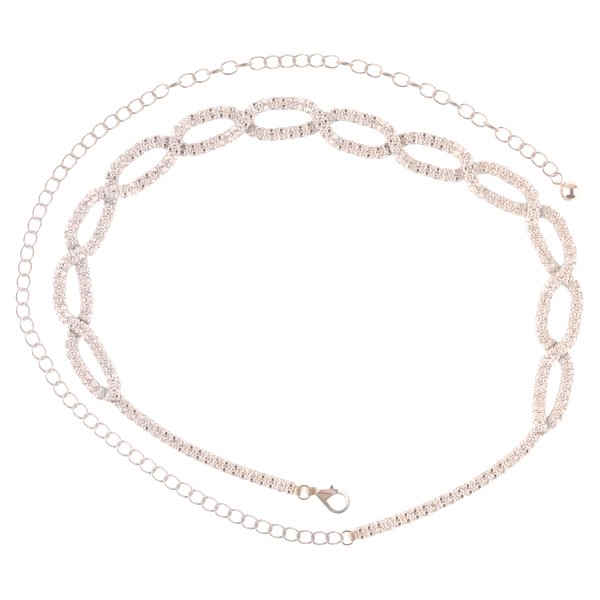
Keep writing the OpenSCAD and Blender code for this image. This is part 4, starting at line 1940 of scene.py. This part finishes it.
        # Painted shade on the lever's thumb tab and back end
        lever = self.lever().shaded(self.lever_painted_light)
        return [fitted(self.in_place(name, shape), finish.build(), body, slot, node)
                for name, shape, finish, body, slot, node in (
                    ("clasp_bow", hook, self.body, CHAIN_BODY, "clasp", "clasp_hook"),
                    ("clasp_eye", self.eye(), self.gold, CHAIN_BODY, "clasp", "clasp_hook"),
                    ("clasp_rivet", self.rivet(), self.gold, CHAIN_BODY, "clasp", "clasp_pin"),
                    ("clasp_thumb_lever", lever, self.rose, LEVER_BODY, "lever", "clasp_lever"))]


@dataclass
class Fittings:
    """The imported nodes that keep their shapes.

    Attributes:
        finishes: the finish of each.
    """

    finishes: dict[str, PlatedMetal] = field(default_factory=lambda: {
        "ring_left": PlatedMetal("rose_ring_left", (0.84, 0.76, 0.72), (0.84, 0.72, 0.64)),
        "ring_right": PlatedMetal("rose_ring_right", (0.82, 0.73, 0.7), (0.84, 0.7, 0.64)),
        "ball_ring": PlatedMetal("rose_ring_ball", (0.84, 0.73, 0.68), (0.84, 0.7, 0.6)),
        "ball": PlatedMetal(
            "rose_mirror_ball", (0.83, 0.71, 0.66), (0.83, 0.68, 0.62), rough=(0.03, 0.06),
            relief=0.0, metallic=0.87),
    })

    def dress(self) -> None:
        """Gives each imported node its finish, in all its slots or in a new one."""
        for node, finish in self.finishes.items():
            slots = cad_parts[node].data.materials
            metal = finish.build()
            if not slots:
                slots.append(metal)
            for i in range(len(slots)):
                slots[i] = metal


@dataclass
class Studio:
    """Camera straight above, pale board and soft light from the sides.

    The light's limits are parts of its direction: x to the right, y to the back.

    Attributes:
        width: width of the view.
        level: height at which the view is that wide.
        lens: focal length in millimetres.
        sensor: width of the camera's sensor.
        reach: nearest and farthest that the camera sees, in metres.
        board: size of the board.
        drop: how far the board lies under the chain.
        ceiling: light from above.
        box: light of the soft boxes.
        wall: light of the wall behind.
        corner: light of the corner beside the right box.
        front: light from the front.
        even: light on matt surfaces.
        left_box: x where the left box starts, and where it is full.
        right_box: the same for the right box.
        back: y where the wall starts, and where it is full.
        corner_x: x where the corner starts, and where it is full.
        corner_y: y where the corner ends, and where it is full.
        near: y where the front starts, and where it is full.
        near_x: distance to the side where the front ends, and where it is full.
    """

    width: float = 252.0
    level: float = 1.5
    lens: float = 120.0
    sensor: float = 36.0
    reach: tuple[float, float] = (0.01, 50.0)
    board: float = 6000.0
    drop: float = 0.05
    ceiling: tuple[float, float, float] = (0.26, 0.22, 0.22)
    box: tuple[float, float, float] = (1.55, 1.5, 1.5)
    wall: tuple[float, float, float] = (0.92, 0.79, 0.71)
    corner: tuple[float, float, float] = (0.16, 0.12, 0.15)
    front: tuple[float, float, float] = (0.2, 0.16, 0.16)
    even: float = 1.5
    left_box: tuple[float, float] = (-0.12, -0.3)
    right_box: tuple[float, float] = (0.36, 0.56)
    back: tuple[float, float] = (0.4, 0.58)
    corner_x: tuple[float, float] = (0.4, 0.62)
    corner_y: tuple[float, float] = (0.8, 0.6)
    near: tuple[float, float] = (-0.5, -0.75)
    near_x: tuple[float, float] = (0.8, 0.6)

    def camera(self) -> None:
        """Camera that looks straight down with +Y at the top of its picture.

        Its height over the level is the view's width times the lens over the sensor.
        """
        data = bpy.data.cameras.new("camera")
        data.lens, data.sensor_width = self.lens, self.sensor
        data.clip_start, data.clip_end = self.reach
        camera = bpy.data.objects.new("camera", data)
        camera.location = (0, 0, (self.width * self.lens / self.sensor + self.level) * MM)
        bpy.context.scene.collection.objects.link(camera)
        bpy.context.scene.camera = camera

    def floor(self) -> None:
        """Board just under the chain."""
        h, z = self.board / 2, -self.drop
        corners = np.array([[-h, -h, z], [h, -h, z], [h, h, z], [-h, h, z]])
        piece = make_piece("board", Shape(corners, (np.array([[0, 1, 2, 3]]),)), Shade.FACETED)
        piece.data.materials.append(TableTop().build())

    def light(self) -> None:
        """Soft light from a pale room, given by the direction it comes from.

        Two large soft boxes stand on the left and right, the wall behind is paler, and the
        ceiling, the front and the corner between the right box and the wall are dim. What falls
        on matt surfaces is even and bright.
        """
        world = bpy.data.worlds.new("soft_room")
        bpy.context.scene.world = world
        world.use_nodes = True
        nodes = NodeTree(world.node_tree)
        world.node_tree.nodes.clear()
        out = nodes.add("ShaderNodeOutputWorld")
        way = nodes.add("ShaderNodeTexCoord").outputs["Generated"]
        xyz = nodes.add("ShaderNodeSeparateXYZ", {"Vector": way}).outputs
        x, y = xyz["X"], xyz["Y"]
        left, right = nodes.step(x, *self.left_box), nodes.step(x, *self.right_box)
        boxes = nodes.maths("MAXIMUM", left, right)
        back = nodes.step(y, *self.back)
        corner = nodes.maths(
            "MULTIPLY", nodes.step(x, *self.corner_x), nodes.step(y, *self.corner_y))
        front = nodes.step(y, *self.near)
        colour = nodes.blended(boxes, self.ceiling, self.box)
        wall = nodes.blended(corner, self.wall, self.corner)
        colour = nodes.blended(back, colour, wall)
        middle = nodes.step(nodes.maths("ABSOLUTE", x), *self.near_x)
        colour = nodes.blended(nodes.maths("MULTIPLY", front, middle), colour, self.front)
        mirrored = nodes.add("ShaderNodeBackground", {"Color": colour, "Strength": 1.0})
        even = nodes.add(
            "ShaderNodeBackground", {"Color": (1, 1, 1, 1), "Strength": self.even})
        glossy = nodes.add("ShaderNodeLightPath").outputs["Is Glossy Ray"]
        both = nodes.add(
            "ShaderNodeMixShader",
            {"Fac": glossy, 1: even.outputs[0], 2: mirrored.outputs[0]})
        nodes.fill(out, {"Surface": both.outputs[0]})

    def build(self) -> None:
        """Sets up the whole studio."""
        self.camera()
        self.floor()
        self.light()
        view = bpy.context.scene.view_settings
        view.view_transform = "Standard"
        view.look = "None"
        view.exposure = 0.0


def main() -> None:
    """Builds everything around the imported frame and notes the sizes."""
    logging.basicConfig(level=logging.INFO, format="%(message)s")
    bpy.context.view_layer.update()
    Studio().build()
    pieces = (StoneStrips().build() + ExtensionChain().build() + EndLoops().build()
              + Clasp().build())
    for piece in pieces:
        log.info("%s: %d faces", piece.name, len(piece.data.polygons))
    Fittings().dress()


if __name__ == "__main__":
    main()
